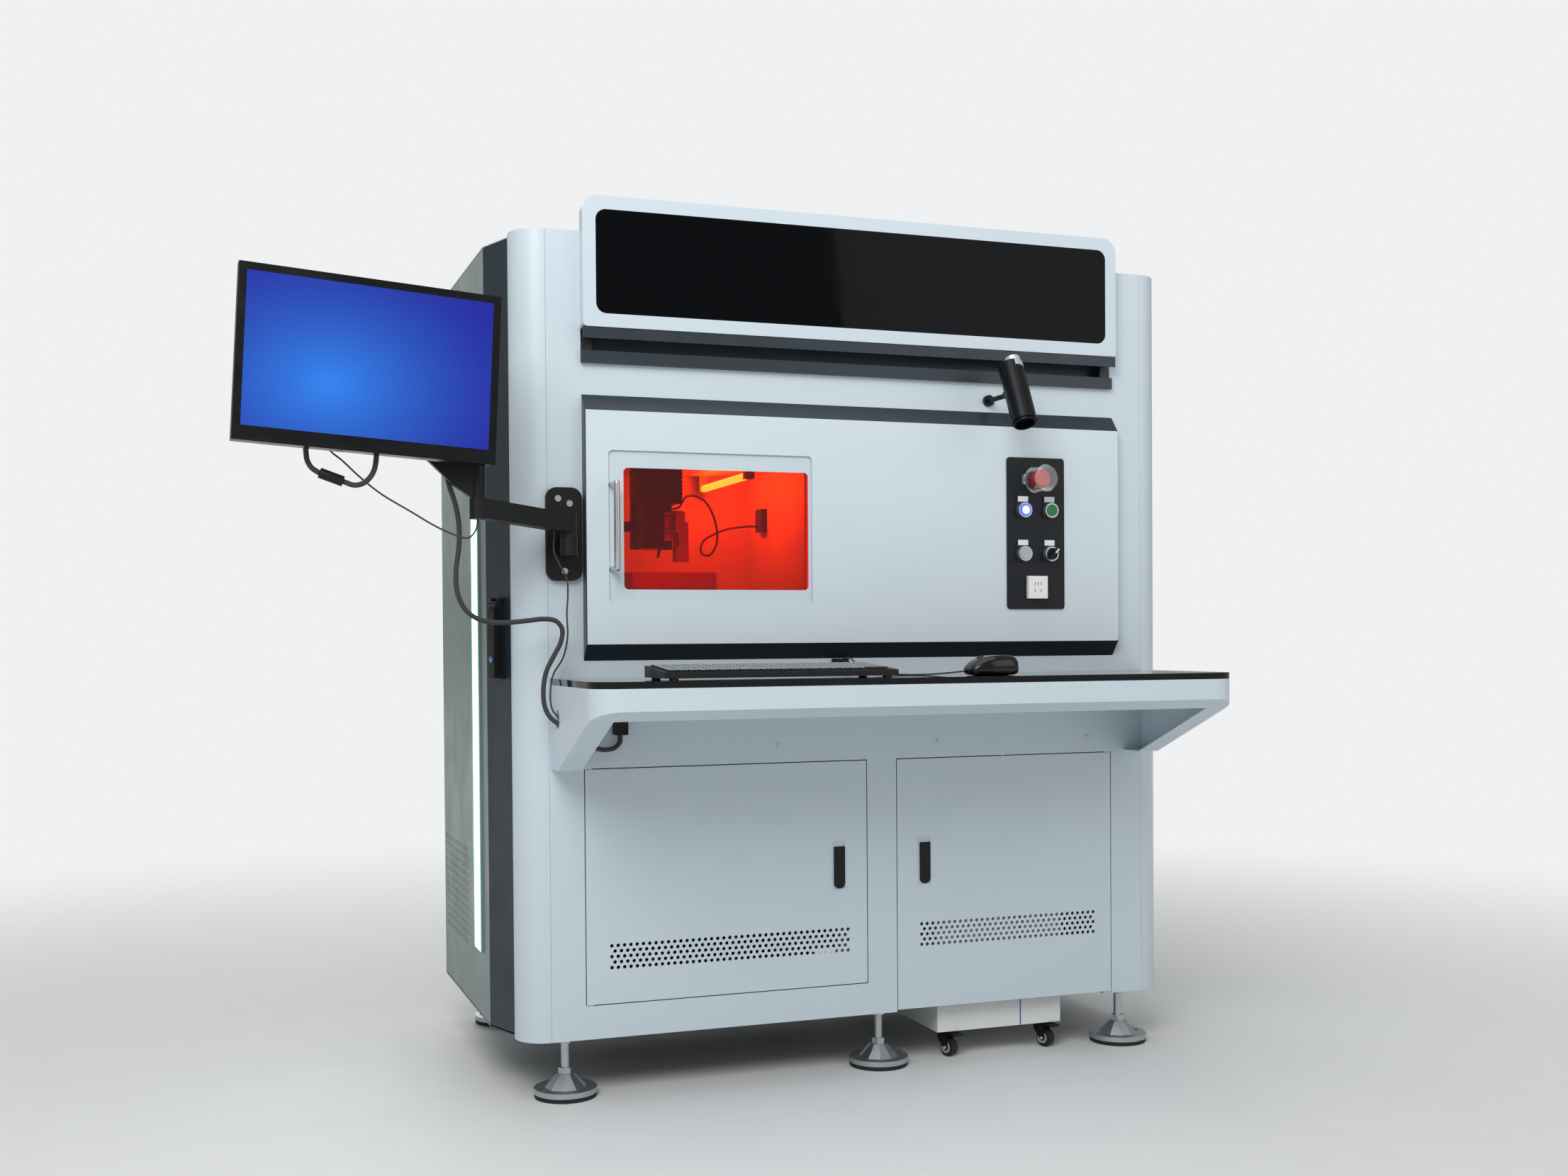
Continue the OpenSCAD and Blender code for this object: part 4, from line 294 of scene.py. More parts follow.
def feed(tree, node, parts):
    """Give each input named in the pairs its socket or its value."""
    for key, part in parts:
        if isinstance(part, bpy.types.NodeSocket):
            tree.links.new(part, node.inputs[key])
        else:
            node.inputs[key].default_value = part


def calc(tree, operation, *parts):
    """The result of one sum or test, whose parts are sockets or numbers."""
    node = add(tree, "ShaderNodeMath", operation=operation)
    feed(tree, node, enumerate(parts))
    return node.outputs[0]


def measure(tree, operation, *parts):
    """The same for places: the result is a place, or a number for a length or a dot product."""
    node = add(tree, "ShaderNodeVectorMath", operation=operation)
    feed(tree, node, enumerate(parts))
    return node.outputs["Value" if operation in ("LENGTH", "DOT_PRODUCT") else "Vector"]


def split(tree, place):
    """The three coordinates of a place."""
    return add(tree, "ShaderNodeSeparateXYZ", {0: place}).outputs


def fade(tree, value, start, end, low=0.0, high=1.0, **settings):
    """A number that goes from low to high while a value goes from start to end."""
    node = add(tree, "ShaderNodeMapRange", {"Value": value},
               {"From Min": start, "From Max": end, "To Min": low, "To Max": high}, **settings)
    return node.outputs["Result"]


def away(tree, place, name, plane):
    """How far a place lies from a node's middle, seen in one plane, and half the node's size."""
    low, high = (Vector(corner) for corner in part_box(name))
    arm = measure(tree, "SUBTRACT", place, (low + high) / 2)
    return measure(tree, "LENGTH", measure(tree, "MULTIPLY", arm, plane)), (high - low) / 2


def blank(name):
    """A new material, its node tree, and the place of a point on the piece: the object coordinates."""
    material = bpy.data.materials.new(name)
    material.use_nodes = True
    tree = material.node_tree
    tree.nodes.clear()
    place = add(tree, "ShaderNodeTexCoord").outputs["Object"]
    return material, tree, place


def near(tree, place, low, high):
    """1 inside a box given by two corners in millimetres from the left front seam, else 0."""
    axes = split(tree, place)
    a, b = at(*low), at(*high)
    x, y, z = (calc(tree, "COMPARE", axes[k], (a[k] + b[k]) / 2, abs(b[k] - a[k]) / 2) for k in range(3))
    return calc(tree, "MULTIPLY", calc(tree, "MULTIPLY", x, y), z)


def recolour(tree, mask, colour, other):
    """other where the mask is 1, else colour: each of the three is a socket or a value."""
    node = add(tree, "ShaderNodeMix", data_type="RGBA")
    feed(tree, node, (("Factor", mask), (6, colour), (7, other)))
    return node.outputs[2]


def mottled(tree, place, colour, drift, patch_mm):
    """A colour that drifts a little darker in patches, as real coats and mouldings do."""
    patches = add(tree, "ShaderNodeTexNoise", {"Vector": place}, {"Scale": 1000 / patch_mm, "Detail": 5.0})
    dark = tuple(c * (1 - drift) for c in colour[:3]) + (1.0,)
    return recolour(tree, patches.outputs["Fac"], tuple(colour), dark)


def surface(tree, place, colour, roughness, grain_mm, depth_mm, metallic=0.0, stretch=(1, 1, 1), **sockets):
    """Join a shader to the output: the colour, a roughness that varies, and grain of a real size."""
    turned = add(tree, "ShaderNodeMapping", {"Vector": place}, {"Scale": stretch})
    grain = add(tree, "ShaderNodeTexNoise", {"Vector": turned.outputs[0]},
                {"Scale": 1000 / grain_mm, "Detail": 3.0, "Roughness": 0.6})
    wear = add(tree, "ShaderNodeTexNoise", {"Vector": place}, {"Scale": 14.0, "Detail": 6.0})
    sheen = fade(tree, wear.outputs["Fac"], 0.3, 0.7, *roughness)
    bump = add(tree, "ShaderNodeBump", {"Height": grain.outputs["Fac"]},
               {"Strength": 1.0, "Distance": depth_mm / 1000})
    shader = add(tree, "ShaderNodeBsdfPrincipled", {"Roughness": sheen, "Normal": bump.outputs["Normal"]},
                 {"Metallic": metallic, **sockets})
    feed(tree, shader, (("Base Color", colour),))
    add(tree, "ShaderNodeOutputMaterial", {"Surface": shader.outputs[0]})
    return shader, bump


def glowing(tree, place, colour, glow, strength, roughness=(0.25, 0.35), grain_mm=1.0, depth_mm=0.01,
            **sockets):
    """A surface that also gives off light, of the colour glow."""
    shader = surface(tree, place, colour, roughness, grain_mm, depth_mm,
                     **{"Emission Strength": strength, **sockets})[0]
    tree.links.new(glow, shader.inputs["Emission Color"])


def grooves(tree, place, bump, axis, pitch_mm, depth_mm, mask=None):
    """Parallel grooves across an axis, where the mask is 1, laid over the grain."""
    bands = add(tree, "ShaderNodeTexWave", {"Vector": place},
                {"Scale": 1000 / pitch_mm * 2 * math.pi / WAVE_RATE},
                wave_type="BANDS", bands_direction=axis, wave_profile="SIN")
    height = bands.outputs["Fac"]
    if mask is not None:
        height = calc(tree, "MULTIPLY", height, mask)
    shader = bump.outputs["Normal"].links[0].to_node
    over = add(tree, "ShaderNodeBump", {"Height": height, "Normal": bump.outputs["Normal"]},
               {"Strength": 1.0, "Distance": depth_mm / 1000})
    tree.links.new(over.outputs["Normal"], shader.inputs["Normal"])


# Paints

def powder_coat(name, colour, drift=0.05, patches=()):
    """Powder coat: a fine orange peel about 1.5 mm across, satin, with boxes of another colour."""
    material, tree, place = blank(name)
    paint = mottled(tree, place, colour, drift, 160)
    for low, high, other in patches:
        paint = recolour(tree, near(tree, place, low, high), paint, other)
    surface(tree, place, paint, (0.34, 0.46), 1.5, 0.03, **{"Coat Weight": 0.15, "Coat Roughness": 0.25})
    return material


def side_paint():
    """Silver-grey flake paint, darkened and tinted green by painted shade and painted green strip light, with
    its slate front strip, and the black base of the swing handle.
    """
    material, tree, place = blank("silver_side_paint")
    # This silver carries painted shade and painted green light from the strip lamps
    silver = mottled(tree, place, looks().side_silver_and_shade_colour, 0.08, 60)
    colour = recolour(tree, near(tree, place, *SIDE_STRIP), silver, tuple(looks().trim_colour))
    axes = split(tree, place)
    width = calc(tree, "ABSOLUTE", calc(tree, "SUBTRACT", axes[0], at(CABINET_MIDDLE, 0, 0).x))
    proud = calc(tree, "MULTIPLY_ADD", axes[1], -STRIP_SLOPE, width)
    plane = (CABINET_MIDDLE + STRIP_OUT) / 1000 - STRIP_SLOPE * at(0, STRIP_START, 0).y
    handle = calc(tree, "GREATER_THAN", proud, plane + HANDLE_PROUD / 1000)
    base = calc(tree, "MULTIPLY", handle, near(tree, place, *HANDLE_BASE))
    surface(tree, place, recolour(tree, base, colour, linear("#1A1C1E")), (0.36, 0.48), 2.0, 0.04,
            metallic=0.2)
    return material


def chamber_paint():
    """White enamel inside the work chamber, with the black socket on its right wall."""
    material, tree, place = blank("chamber_enamel")
    white = mottled(tree, place, linear("#D0D3D1"), 0.06, 90)
    socket = near(tree, place, *CHAMBER_SOCKET)
    surface(tree, place, recolour(tree, socket, white, linear("#141516")), (0.4, 0.55), 1.8, 0.03)
    return material


def chiller_paint():
    """Warm white powder coat of the chiller, with a printed blue stripe."""
    material, tree, place = blank("chiller_powder_coat")
    white = mottled(tree, place, linear("#D9DCDA"), 0.05, 140)
    stripe = near(tree, place, *CHILLER_STRIPE)
    surface(tree, place, recolour(tree, stripe, white, linear("#2358B4")), (0.32, 0.45), 1.5, 0.03)
    return material


# Metals

def zinc():
    """Zinc plated steel: a turned grain 0.8 mm wide and a dull blue-grey shine."""
    material, tree, place = blank("zinc_plated_steel")
    colour = mottled(tree, place, linear("#BFC5C9"), 0.14, 24)
    surface(tree, place, colour, (0.28, 0.42), 0.8, 0.02, metallic=0.92, stretch=(1, 1, 6))
    return material


def anodised():
    """Satin anodised aluminium, brushed upright: a grain 0.25 mm wide and 3 mm long."""
    material, tree, place = blank("anodised_aluminium")
    surface(tree, place, mottled(tree, place, linear("#C9CBCC"), 0.08, 20), (0.25, 0.36), 2.0, 0.015,
            metallic=1.0, stretch=(8, 8, 0.6))
    return material


def machined():
    """Milled aluminium blocks of the table: cutter marks 1.2 mm apart."""
    material, tree, place = blank("milled_aluminium")
    colour = mottled(tree, place, linear("#B4B7B9"), 0.12, 18)
    bump = surface(tree, place, colour, (0.26, 0.4), 1.5, 0.01, metallic=1.0)[1]
    grooves(tree, place, bump, "X", 1.2, 0.03)
    return material


# Plastics, rubber and glass

def moulded(name, colour, rough=(0.42, 0.58), grain_mm=0.9, depth_mm=0.04, **sockets):
    """Injection-moulded plastic with a fine spark-eroded texture."""
    material, tree, place = blank(name)
    surface(tree, place, mottled(tree, place, linear(colour), 0.08, 40), rough, grain_mm, depth_mm, **sockets)
    return material


def socket_resin():
    """White urea resin of the wall socket: its slots are painted dark behind the face, a painted shade inside
    the holes.
    """
    material, tree, place = blank("white_socket_resin")
    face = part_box("mains_socket")[0][1]
    deep_in_shade = calc(tree, "GREATER_THAN", split(tree, place)[1], face + SLOT_SHADE_DEPTH / 1000)
    # Painted shade: the slot walls deeper than the face turn near black
    dark = calc(tree, "MULTIPLY", deep_in_shade, near(tree, place, *SOCKET_SLOT_SHADE))
    white = mottled(tree, place, linear("#E6E8E6"), 0.04, 30)
    surface(tree, place, recolour(tree, dark, white, linear("#0C0C0D")), (0.25, 0.35), 1.5, 0.01)
    return material


def keyboard_plastic():
    """Black case with light keys: the keys stand above the slope of the case, a few are dark red."""
    material, tree, place = blank("keyboard_plastic")
    axes = split(tree, place)
    low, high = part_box("keyboard")
    slope = KEYBOARD_RISE / 1000 / (high[1] - low[1])
    level = calc(tree, "ADD", axes[2], calc(tree, "MULTIPLY_ADD", axes[1], -slope, low[1] * slope))
    key = calc(tree, "GREATER_THAN", level, low[2] + KEY_LEVEL / 1000)
    cap = recolour(tree, near(tree, place, *RED_KEYS), linear("#9DA6AE"), linear("#6E2A2E"))
    surface(tree, place, recolour(tree, key, linear("#0D0E10"), cap), (0.4, 0.55), 0.8, 0.03)
    return material


def plate_coat():
    """Dark powder coat of the control plate, black label holders and their blank white labels."""
    material, tree, place = blank("control_plate_coat")
    dark = mottled(tree, place, linear("#0E141A"), 0.06, 60)
    colour = recolour(tree, near(tree, place, *LABEL_HOLDERS), dark, linear("#17191B"))
    colour = recolour(tree, near(tree, place, *LABELS), colour, linear("#D6DADB"))
    surface(tree, place, colour, (0.36, 0.48), 1.4, 0.03, **DULL)
    return material


def lever_plastic():
    """Black nylon of the swing handle: raised grip ribs 4 mm apart on its lower part."""
    material, tree, place = blank("glass_filled_nylon")
    black = mottled(tree, place, linear("#0E0F11"), 0.1, 30)
    bump = surface(tree, place, black, (0.4, 0.55), 0.8, 0.04, **DULL)[1]
    grooves(tree, place, bump, "Z", 4.0, 0.5, near(tree, place, *GRIP_RIBS))
    return material


def monitor_plastic():
    """Black gloss bezel of the monitor with fine moulded lines along its lower edge."""
    material, tree, place = blank("monitor_bezel_plastic")
    black = mottled(tree, place, linear("#0B0C0E"), 0.08, 60)
    bump = surface(tree, place, black, (0.2, 0.32), 0.8, 0.015, **DULL)[1]
    grooves(tree, place, bump, "Z", 5.0, 0.25, near(tree, place, *BEZEL_LINES))
    return material


def lamp_coat():
    """Black anodised lamp with the silver neck and half sleeve on its upper end."""
    material, tree, place = blank("lamp_anodising")
    lean = math.radians(LAMP_TILT)
    along = Vector((0, math.sin(lean), math.cos(lean)))
    pivot = at(*LAMP_PIVOT)
    height = measure(tree, "DOT_PRODUCT", place, along)
    neck, upper = (calc(tree, "GREATER_THAN", height, pivot.dot(along) + start / 1000)
                   for start in (LAMP_NECK_UP, LAMP_SLEEVE_UP))
    right = calc(tree, "GREATER_THAN", split(tree, place)[0], pivot.x - LAMP_SLEEVE_LEFT / 1000)
    silver = calc(tree, "MAXIMUM", neck, calc(tree, "MULTIPLY", right, upper))
    colour = recolour(tree, silver, linear("#15171B"), linear("#D2D5D8"))
    surface(tree, place, colour, (0.3, 0.42), 1.0, 0.02, metallic=0.6)
    return material


def bed_enamel():
    """Dark enamel of the bed and the vertical axis, with bright rails."""
    material, tree, place = blank("bed_enamel")
    rails = near(tree, place, *BED_RAILS)
    colour = recolour(tree, rails, mottled(tree, place, linear("#101214"), 0.2, 30), linear("#A8ADB2"))
    surface(tree, place, colour, (0.45, 0.6), 1.2, 0.04)
    return material


def head_metal():
    """Cutting head: black anodised carriage, bright optics block and clamps."""
    material, tree, place = blank("cutting_head_metal")
    bright = near(tree, place, *BRIGHT_OPTICS)
    colour = recolour(tree, bright, linear("#131517"), linear("#AEB3B8"))
    surface(tree, place, colour, (0.25, 0.4), 1.0, 0.02, metallic=0.7)
    return material


def safety_pane():
    """Red laser-safe acrylic: clear and deeply tinted, with painted light: a red glow along its rim for the
    light its edges gather, and a faint dark red painted glow over the rest.
    """
    material, tree, place = blank("laser_safe_acrylic")
    low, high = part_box("window_pane")
    axes = split(tree, place)
    across, up = (calc(tree, "COMPARE", axes[k], (low[k] + high[k]) / 2,
                       (high[k] - low[k]) / 2 - PAINTED_GLOW_RIM / 1000) for k in (0, 2))
    # Painted glow: bright red along the rim, faint dark red over the rest of the pane
    glow = recolour(tree, calc(tree, "MULTIPLY", across, up), linear("#FF4028"), linear("#300000"))
    glowing(tree, place, tuple(looks().window_colour), glow, 0.3, (0.0, 0.02), 12, 0.001,
            **{"Transmission Weight": 1.0, "IOR": 1.49, "Specular IOR Level": 0.25})
    return material


def mouse_plastic():
    """Gloss black ABS of the mouse, with a painted shade: a pure black line where the gap between its two
    buttons is.
    """
    known = bpy.data.materials.get("mouse_gloss_abs")
    if known:
        return known
    material, tree, place = blank("mouse_gloss_abs")
    gap_shade = near(tree, place, *MOUSE_GAP_SHADE)
    colour = recolour(tree, gap_shade, mottled(tree, place, linear("#0A0B0D"), 0.1, 30), linear("#000000"))
    surface(tree, place, colour, (0.12, 0.2), 2.0, 0.01)
    return material


def cable_pvc():
    """Soft PVC cable sheath: black with a dull, faintly orange-peeled shine."""
    return bpy.data.materials.get("cable_pvc") or moulded("cable_pvc", "#08090A", (0.42, 0.55), 2.0, 0.03,
                                                             **{"Specular IOR Level": 0.12})


def clear_cover():
    """Clear polycarbonate cap over the stop button."""
    material, tree, place = blank("clear_polycarbonate")
    surface(tree, place, linear("#FAFDFD"), (0.0, 0.03), 8, 0.002,
            **{"Transmission Weight": 1.0, "IOR": 1.585, "Specular IOR Level": 0.3})
    return material


def painted_glass(name, colour, shine):
    """Float glass painted on its back: a sharp clear reflection over flat colour."""
    material, tree, place = blank(name)
    surface(tree, place, mottled(tree, place, linear(colour), 0.1, 220), (0.03, 0.07), 60, 0.003,
            **{"Specular IOR Level": shine})
    return material


def faint_glow_plastic(name, colour, strength):
    """Plastic that glows a little in its own colour: a painted glow, as on the stop button and the lock
    rings, which have no lamp.
    """
    material, tree, place = blank(name)
    tone = mottled(tree, place, linear(colour), 0.06, 50)
    glowing(tree, place, tone, tone, strength)
    return material


def light_strip():
    """Opal strip with its lamp down the middle, in a grey frame that carries a painted green glow beside the
    lamp, a painted reflection of its light.
    """
    material, tree, place = blank("opal_light_strip")
    middle = at(0, (LIT_FROM + LIT_TO) / 2, 0).y
    reach = calc(tree, "ABSOLUTE", calc(tree, "SUBTRACT", split(tree, place)[1], middle))
    half = (LIT_TO - LIT_FROM) / 2000
    dark, painted_gleam = (fade(tree, reach, *(half + edge / 1000 for edge in edges))
                   for edges in (LIGHT_FADE, PAINTED_GLEAM_FADE))
    frame_grey = mottled(tree, place, linear("#6E807D"), 0.06, 50)
    # Painted green glow on the frame beside the lamp: a painted reflection of the strip's light
    edge = recolour(tree, painted_gleam, linear("#38C890"), (0, 0, 0, 1))
    glowing(tree, place, recolour(tree, dark, linear("#E8FFF6"), frame_grey),
            recolour(tree, dark, linear("#E8FFF6"), edge), looks().lamp_strength)
    return material


def pilot_lens():
    """Lit blue lens: nearly white over its lamp, deep blue toward its rim."""
    material, tree, place = blank("blue_lens_lit")
    reach, half = away(tree, place, "blue_button", (1, 0, 1))
    rim = fade(tree, reach, *(share * half.x for share in LENS_RIM_SHARES), interpolation_type="SMOOTHSTEP")
    tone = recolour(tree, rim, linear("#D8F0FF"), linear("#1A3CFF"))
    glowing(tree, place, tone, tone, 1.4, (0.2, 0.3))
    return material


def knob_plastic():
    """Black knob with the white pointer printed on the upper half of its grip."""
    material, tree, place = blank("selector_knob_plastic")
    low, high = (Vector(corner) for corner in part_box("selector_knob"))
    middle = (low + high) / 2
    axes = split(tree, place)
    right = calc(tree, "SUBTRACT", axes[0], middle.x)
    up = calc(tree, "SUBTRACT", axes[2], middle.z)
    line = calc(tree, "COMPARE", calc(tree, "SUBTRACT", right, up), 0.0, POINTER_HALF / 1000)
    upper = calc(tree, "GREATER_THAN", calc(tree, "ADD", right, up), POINTER_START / 1000)
    front = calc(tree, "LESS_THAN", axes[1], low.y + POINTER_DEEP / 1000)
    mask = calc(tree, "MULTIPLY", calc(tree, "MULTIPLY", line, upper), front)
    black = mottled(tree, place, linear("#0B0C0E"), 0.08, 40)
    surface(tree, place, recolour(tree, mask, black, linear("#D8DADB")), (0.42, 0.58), 0.9, 0.04, **DULL)
    return material


def tube_glass():
    """Warm tube with grey end caps."""
    material, tree, place = blank("tube_glass")
    low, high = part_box("tube_light")
    lit = calc(tree, "COMPARE", split(tree, place)[1], (low[1] + high[1]) / 2,
               (high[1] - low[1]) / 2 - TUBE_HOLDER / 1000)
    colour = recolour(tree, lit, linear("#8E9296"), linear("#FFFAE0"))
    glow = recolour(tree, lit, (0, 0, 0, 1), linear("#FFF7CC"))
    glowing(tree, place, colour, glow, looks().tube_strength, (0.3, 0.4), 1.5)
    return material


def lit_screen():
    """Backlit panel showing a plain blue gradient, darker toward the corners and the bottom."""
    material, tree, place = blank("lit_display")
    low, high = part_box("monitor_screen")
    centre = [(a + b) / 2 for a, b in zip(low, high)]
    left, lowered = 0.07, 0.04
    turned = add(tree, "ShaderNodeMapping", {"Vector": place},
                 {"Location": (left - centre[0], -centre[1], lowered - centre[2])})
    wide = add(tree, "ShaderNodeMapping", {"Vector": turned.outputs[0]}, {"Scale": (2.7, 1.0, 3.6)})
    spot = add(tree, "ShaderNodeTexGradient", {"Vector": wide.outputs[0]}, gradient_type="QUADRATIC_SPHERE")
    ramp = add(tree, "ShaderNodeValToRGB", {"Fac": spot.outputs["Fac"]})
    ramp.color_ramp.elements[0].color = linear("#14149A")
    ramp.color_ramp.elements[1].color = linear("#2E8CFA")
    pixels = add(tree, "ShaderNodeTexNoise", {"Vector": place}, {"Scale": 900.0})
    haze = recolour(tree, pixels.outputs["Fac"], ramp.outputs[0], linear("#1A3CC8"))
    glowing(tree, place, linear("#08090C"), recolour(tree, 0.25, ramp.outputs[0], haze), 0.95,
            (0.15, 0.2), 3, 0.003)
    return material


def rubber(name, colour):
    """Moulded rubber: matt, with a dusty bloom."""
    material, tree, place = blank(name)
    surface(tree, place, mottled(tree, place, linear(colour), 0.3, 18), (0.65, 0.85), 1.2, 0.08)
    return material


def wheel_rubber():
    """Black caster tread with a light grey wheel body and a silver axle."""
    material, tree, place = blank("caster_wheel")
    front = away(tree, place, "front_left_wheel", (0, 1, 1))[0]
    rear, half = away(tree, place, "rear_wheels", (0, 1, 1))
    reach = calc(tree, "MINIMUM", front, rear)
    body, axle = (calc(tree, "LESS_THAN", reach, share * half.z)
                  for share in (CASTER_BODY_SHARE, CASTER_AXLE_SHARE))
    tread = mottled(tree, place, linear("#141517"), 0.3, 10)
    colour = recolour(tree, body, tread, linear("#A4A8AC"))
    surface(tree, place, recolour(tree, axle, colour, linear("#D5D8DA")), (0.5, 0.7), 1.2, 0.06)
    return material


def finish_table():
    """Which finish each CAD node gets."""
    # The near-black box behind the louvre is painted shade, not a colour of the coat
    cabinet = powder_coat("cabinet_powder_coat", looks().cabinet_colour,
                          patches=[(*VENT_SLOT_SHADE, linear("#0B1116"))])
    panel_colour = linear("#C9D6DD")
    slate = powder_coat("slate_powder_coat", looks().trim_colour, 0.08,
                        patches=[(*PANEL_RIGHT_EDGE, panel_colour)])
    face = powder_coat("panel_powder_coat", panel_colour)
    black = moulded("black_moulded_abs", "#0B0C0E", **DULL)
    return {
        cabinet: ["front_fascia", "corner_columns", "top_cover", "sign_housing", "left_door", "right_door",
                  "window_door", "console_shelf"],
        slate: ["base_frame", "louvre", "panel_trims"],
        face: ["panel_face"],
        side_paint(): ["left_side_door", "right_side_door", "rear_panel"],
        zinc(): ["hinge_pins", "fixing_screws", "button_bezels", "levelling_feet"],
        anodised(): ["window_handle"],
        machined(): ["x_table", "y_saddle"],
        black: ["arm_wall_plate", "arm_link", "arm_riser", "left_latch", "right_latch", "lamp_arm",
                "front_left_fork", "front_right_fork"],
        knob_plastic(): ["selector_knob"],
        mouse_plastic(): ["mouse"],
        socket_resin(): ["mains_socket"],
        lever_plastic(): ["left_swing_lever", "right_swing_lever"],
        wheel_rubber(): ["front_left_wheel", "front_right_wheel", "rear_wheels"],
        light_strip(): ["left_light_strip", "right_light_strip"],
        chamber_paint(): ["chamber_liner"],
        chiller_paint(): ["chiller_case"],
        keyboard_plastic(): ["keyboard"],
        plate_coat(): ["control_plate"],
        monitor_plastic(): ["monitor_case"],
        lit_screen(): ["monitor_screen"],
        lamp_coat(): ["lamp_body"],
        bed_enamel(): ["stage_base"],
        head_metal(): ["z_carriage"],
        tube_glass(): ["tube_light"],
        safety_pane(): ["window_pane"],
        clear_cover(): ["stop_cover"],
        painted_glass("sign_black_glass", "#06070A", 0.12): ["sign_glass"],
        painted_glass("desk_black_glass", "#0B0D10", 0.5): ["shelf_glass"],
        rubber("foot_pad_rubber", "#1A1B1B"): ["foot_pads"],
        # The stop button has no lamp: its faint glow is painted light
        faint_glow_plastic("red_stop_abs_painted_glow", "#C01418", 0.06): ["stop_button"],
        pilot_lens(): ["blue_button"],
        faint_glow_plastic("green_lens", "#046A38", 0.05): ["green_button"],
        faint_glow_plastic("pale_lens", "#A3AAAD", 0.02): ["white_button"],
        cable_pvc(): ["arm_cables"],
    }


# Modelling helpers

def clear_selection():
    """Leave edit mode and select nothing."""
    if bpy.context.object and bpy.context.object.mode != "OBJECT":
        bpy.ops.object.mode_set(mode="OBJECT")
    bpy.ops.object.select_all(action="DESELECT")


def pick(kind, test):
    """In edit mode, select only the faces or points of the active mesh that pass a test."""
    mesh = bmesh.from_edit_mesh(bpy.context.object.data)
    bpy.ops.mesh.select_mode(type=kind)
    for part in mesh.faces if kind == "FACE" else mesh.verts:
        part.select = test(part)
    mesh.select_flush_mode()
    bmesh.update_edit_mesh(bpy.context.object.data)


def pick_side(direction):
    """In edit mode, select only the faces of the active mesh that look along a direction."""
    pick("FACE", lambda face: face.normal.dot(Vector(direction)) > SAME_WAY)


def bevelled(width, segments=3):
    """Round the edges of the active piece with an applied bevel."""
    bevel = bpy.context.object.modifiers.new("edges", "BEVEL")
    bevel.width = width
    bevel.segments = segments
    bevel.limit_method = "ANGLE"
    bpy.ops.object.modifier_apply(modifier="edges")


def settle(name, body, material):
    """Put the active piece's place in its mesh, and give it its name, body, slot and finish."""
    piece = bpy.context.object
    piece.name = name
    bpy.ops.object.transform_apply(location=True, rotation=True, scale=True)
    bpy.ops.object.shade_smooth_by_angle(angle=math.radians(SMOOTH_ANGLE))
    piece.data.materials.clear()
    piece.data.materials.append(material)
    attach(piece, body)
    return piece


def block(low, high, lid=None, inset=0.0015, step=0.0008, edge=0.0012):
    """A moulded box between two corners in millimetres, with a sunk lid on the side named."""
    clear_selection()
    a, b = at(*low), at(*high)
    bpy.ops.mesh.primitive_cube_add(size=1, location=(a + b) / 2, scale=[abs(v) for v in b - a])
    bpy.ops.object.transform_apply(location=False, rotation=False, scale=True)
    if lid:
        bpy.ops.object.mode_set(mode="EDIT")
        pick_side(lid)
        bpy.ops.mesh.inset(thickness=inset, depth=0)
        bpy.ops.mesh.inset(thickness=step / 2, depth=-step)
        bpy.ops.object.mode_set(mode="OBJECT")
    bevelled(edge)


def smooth_route(points, steps=6):
    """The points of a smooth line through a cable's chosen points, in the frame."""
    marks = [at(*p) for p in points]
    marks = [2 * marks[0] - marks[1]] + marks + [2 * marks[-1] - marks[-2]]
    line = []
    for i in range(1, len(marks) - 2):
        p0, p1, p2, p3 = marks[i - 1:i + 3]
        for s in range(steps):
            t = s / steps
            line.append(0.5 * (2 * p1 + (p2 - p0) * t + (2 * p0 - 5 * p1 + 4 * p2 - p3) * t ** 2
                               + (3 * p1 - p0 - 3 * p2 + p3) * t ** 3))
    return line + [marks[-2]]


def lay_cord(name, points, diameter, body="cabinet", bend=None):
    """A cable of its real thickness along its route.

    It rides on one body, or, when bend is given, becomes a mesh with its place baked in that rides on no
    body; the bodies and points in bend are not used.
    """
    line = smooth_route(points)
    data = bpy.data.curves.new(name, "CURVE")
    data.dimensions = "3D"
    data.bevel_depth = diameter / 2000
    data.bevel_resolution = 3
    data.use_fill_caps = True
    spline = data.splines.new("POLY")
    spline.points.add(len(line) - 1)
    for point, place in zip(spline.points, line):
        point.co = (*place, 1.0)
    cord = bpy.data.objects.new(name, data)
    bpy.context.collection.objects.link(cord)
    data.materials.append(cable_pvc())
    if bend:
        clear_selection()
        cord.select_set(True)
        bpy.context.view_layer.objects.active = cord
        bpy.ops.object.convert(target="MESH")
        cord = bpy.context.object
        bpy.ops.object.shade_smooth()
        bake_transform(cord)
    else:
        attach(cord, body)
    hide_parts("arm_cables")
    return cord


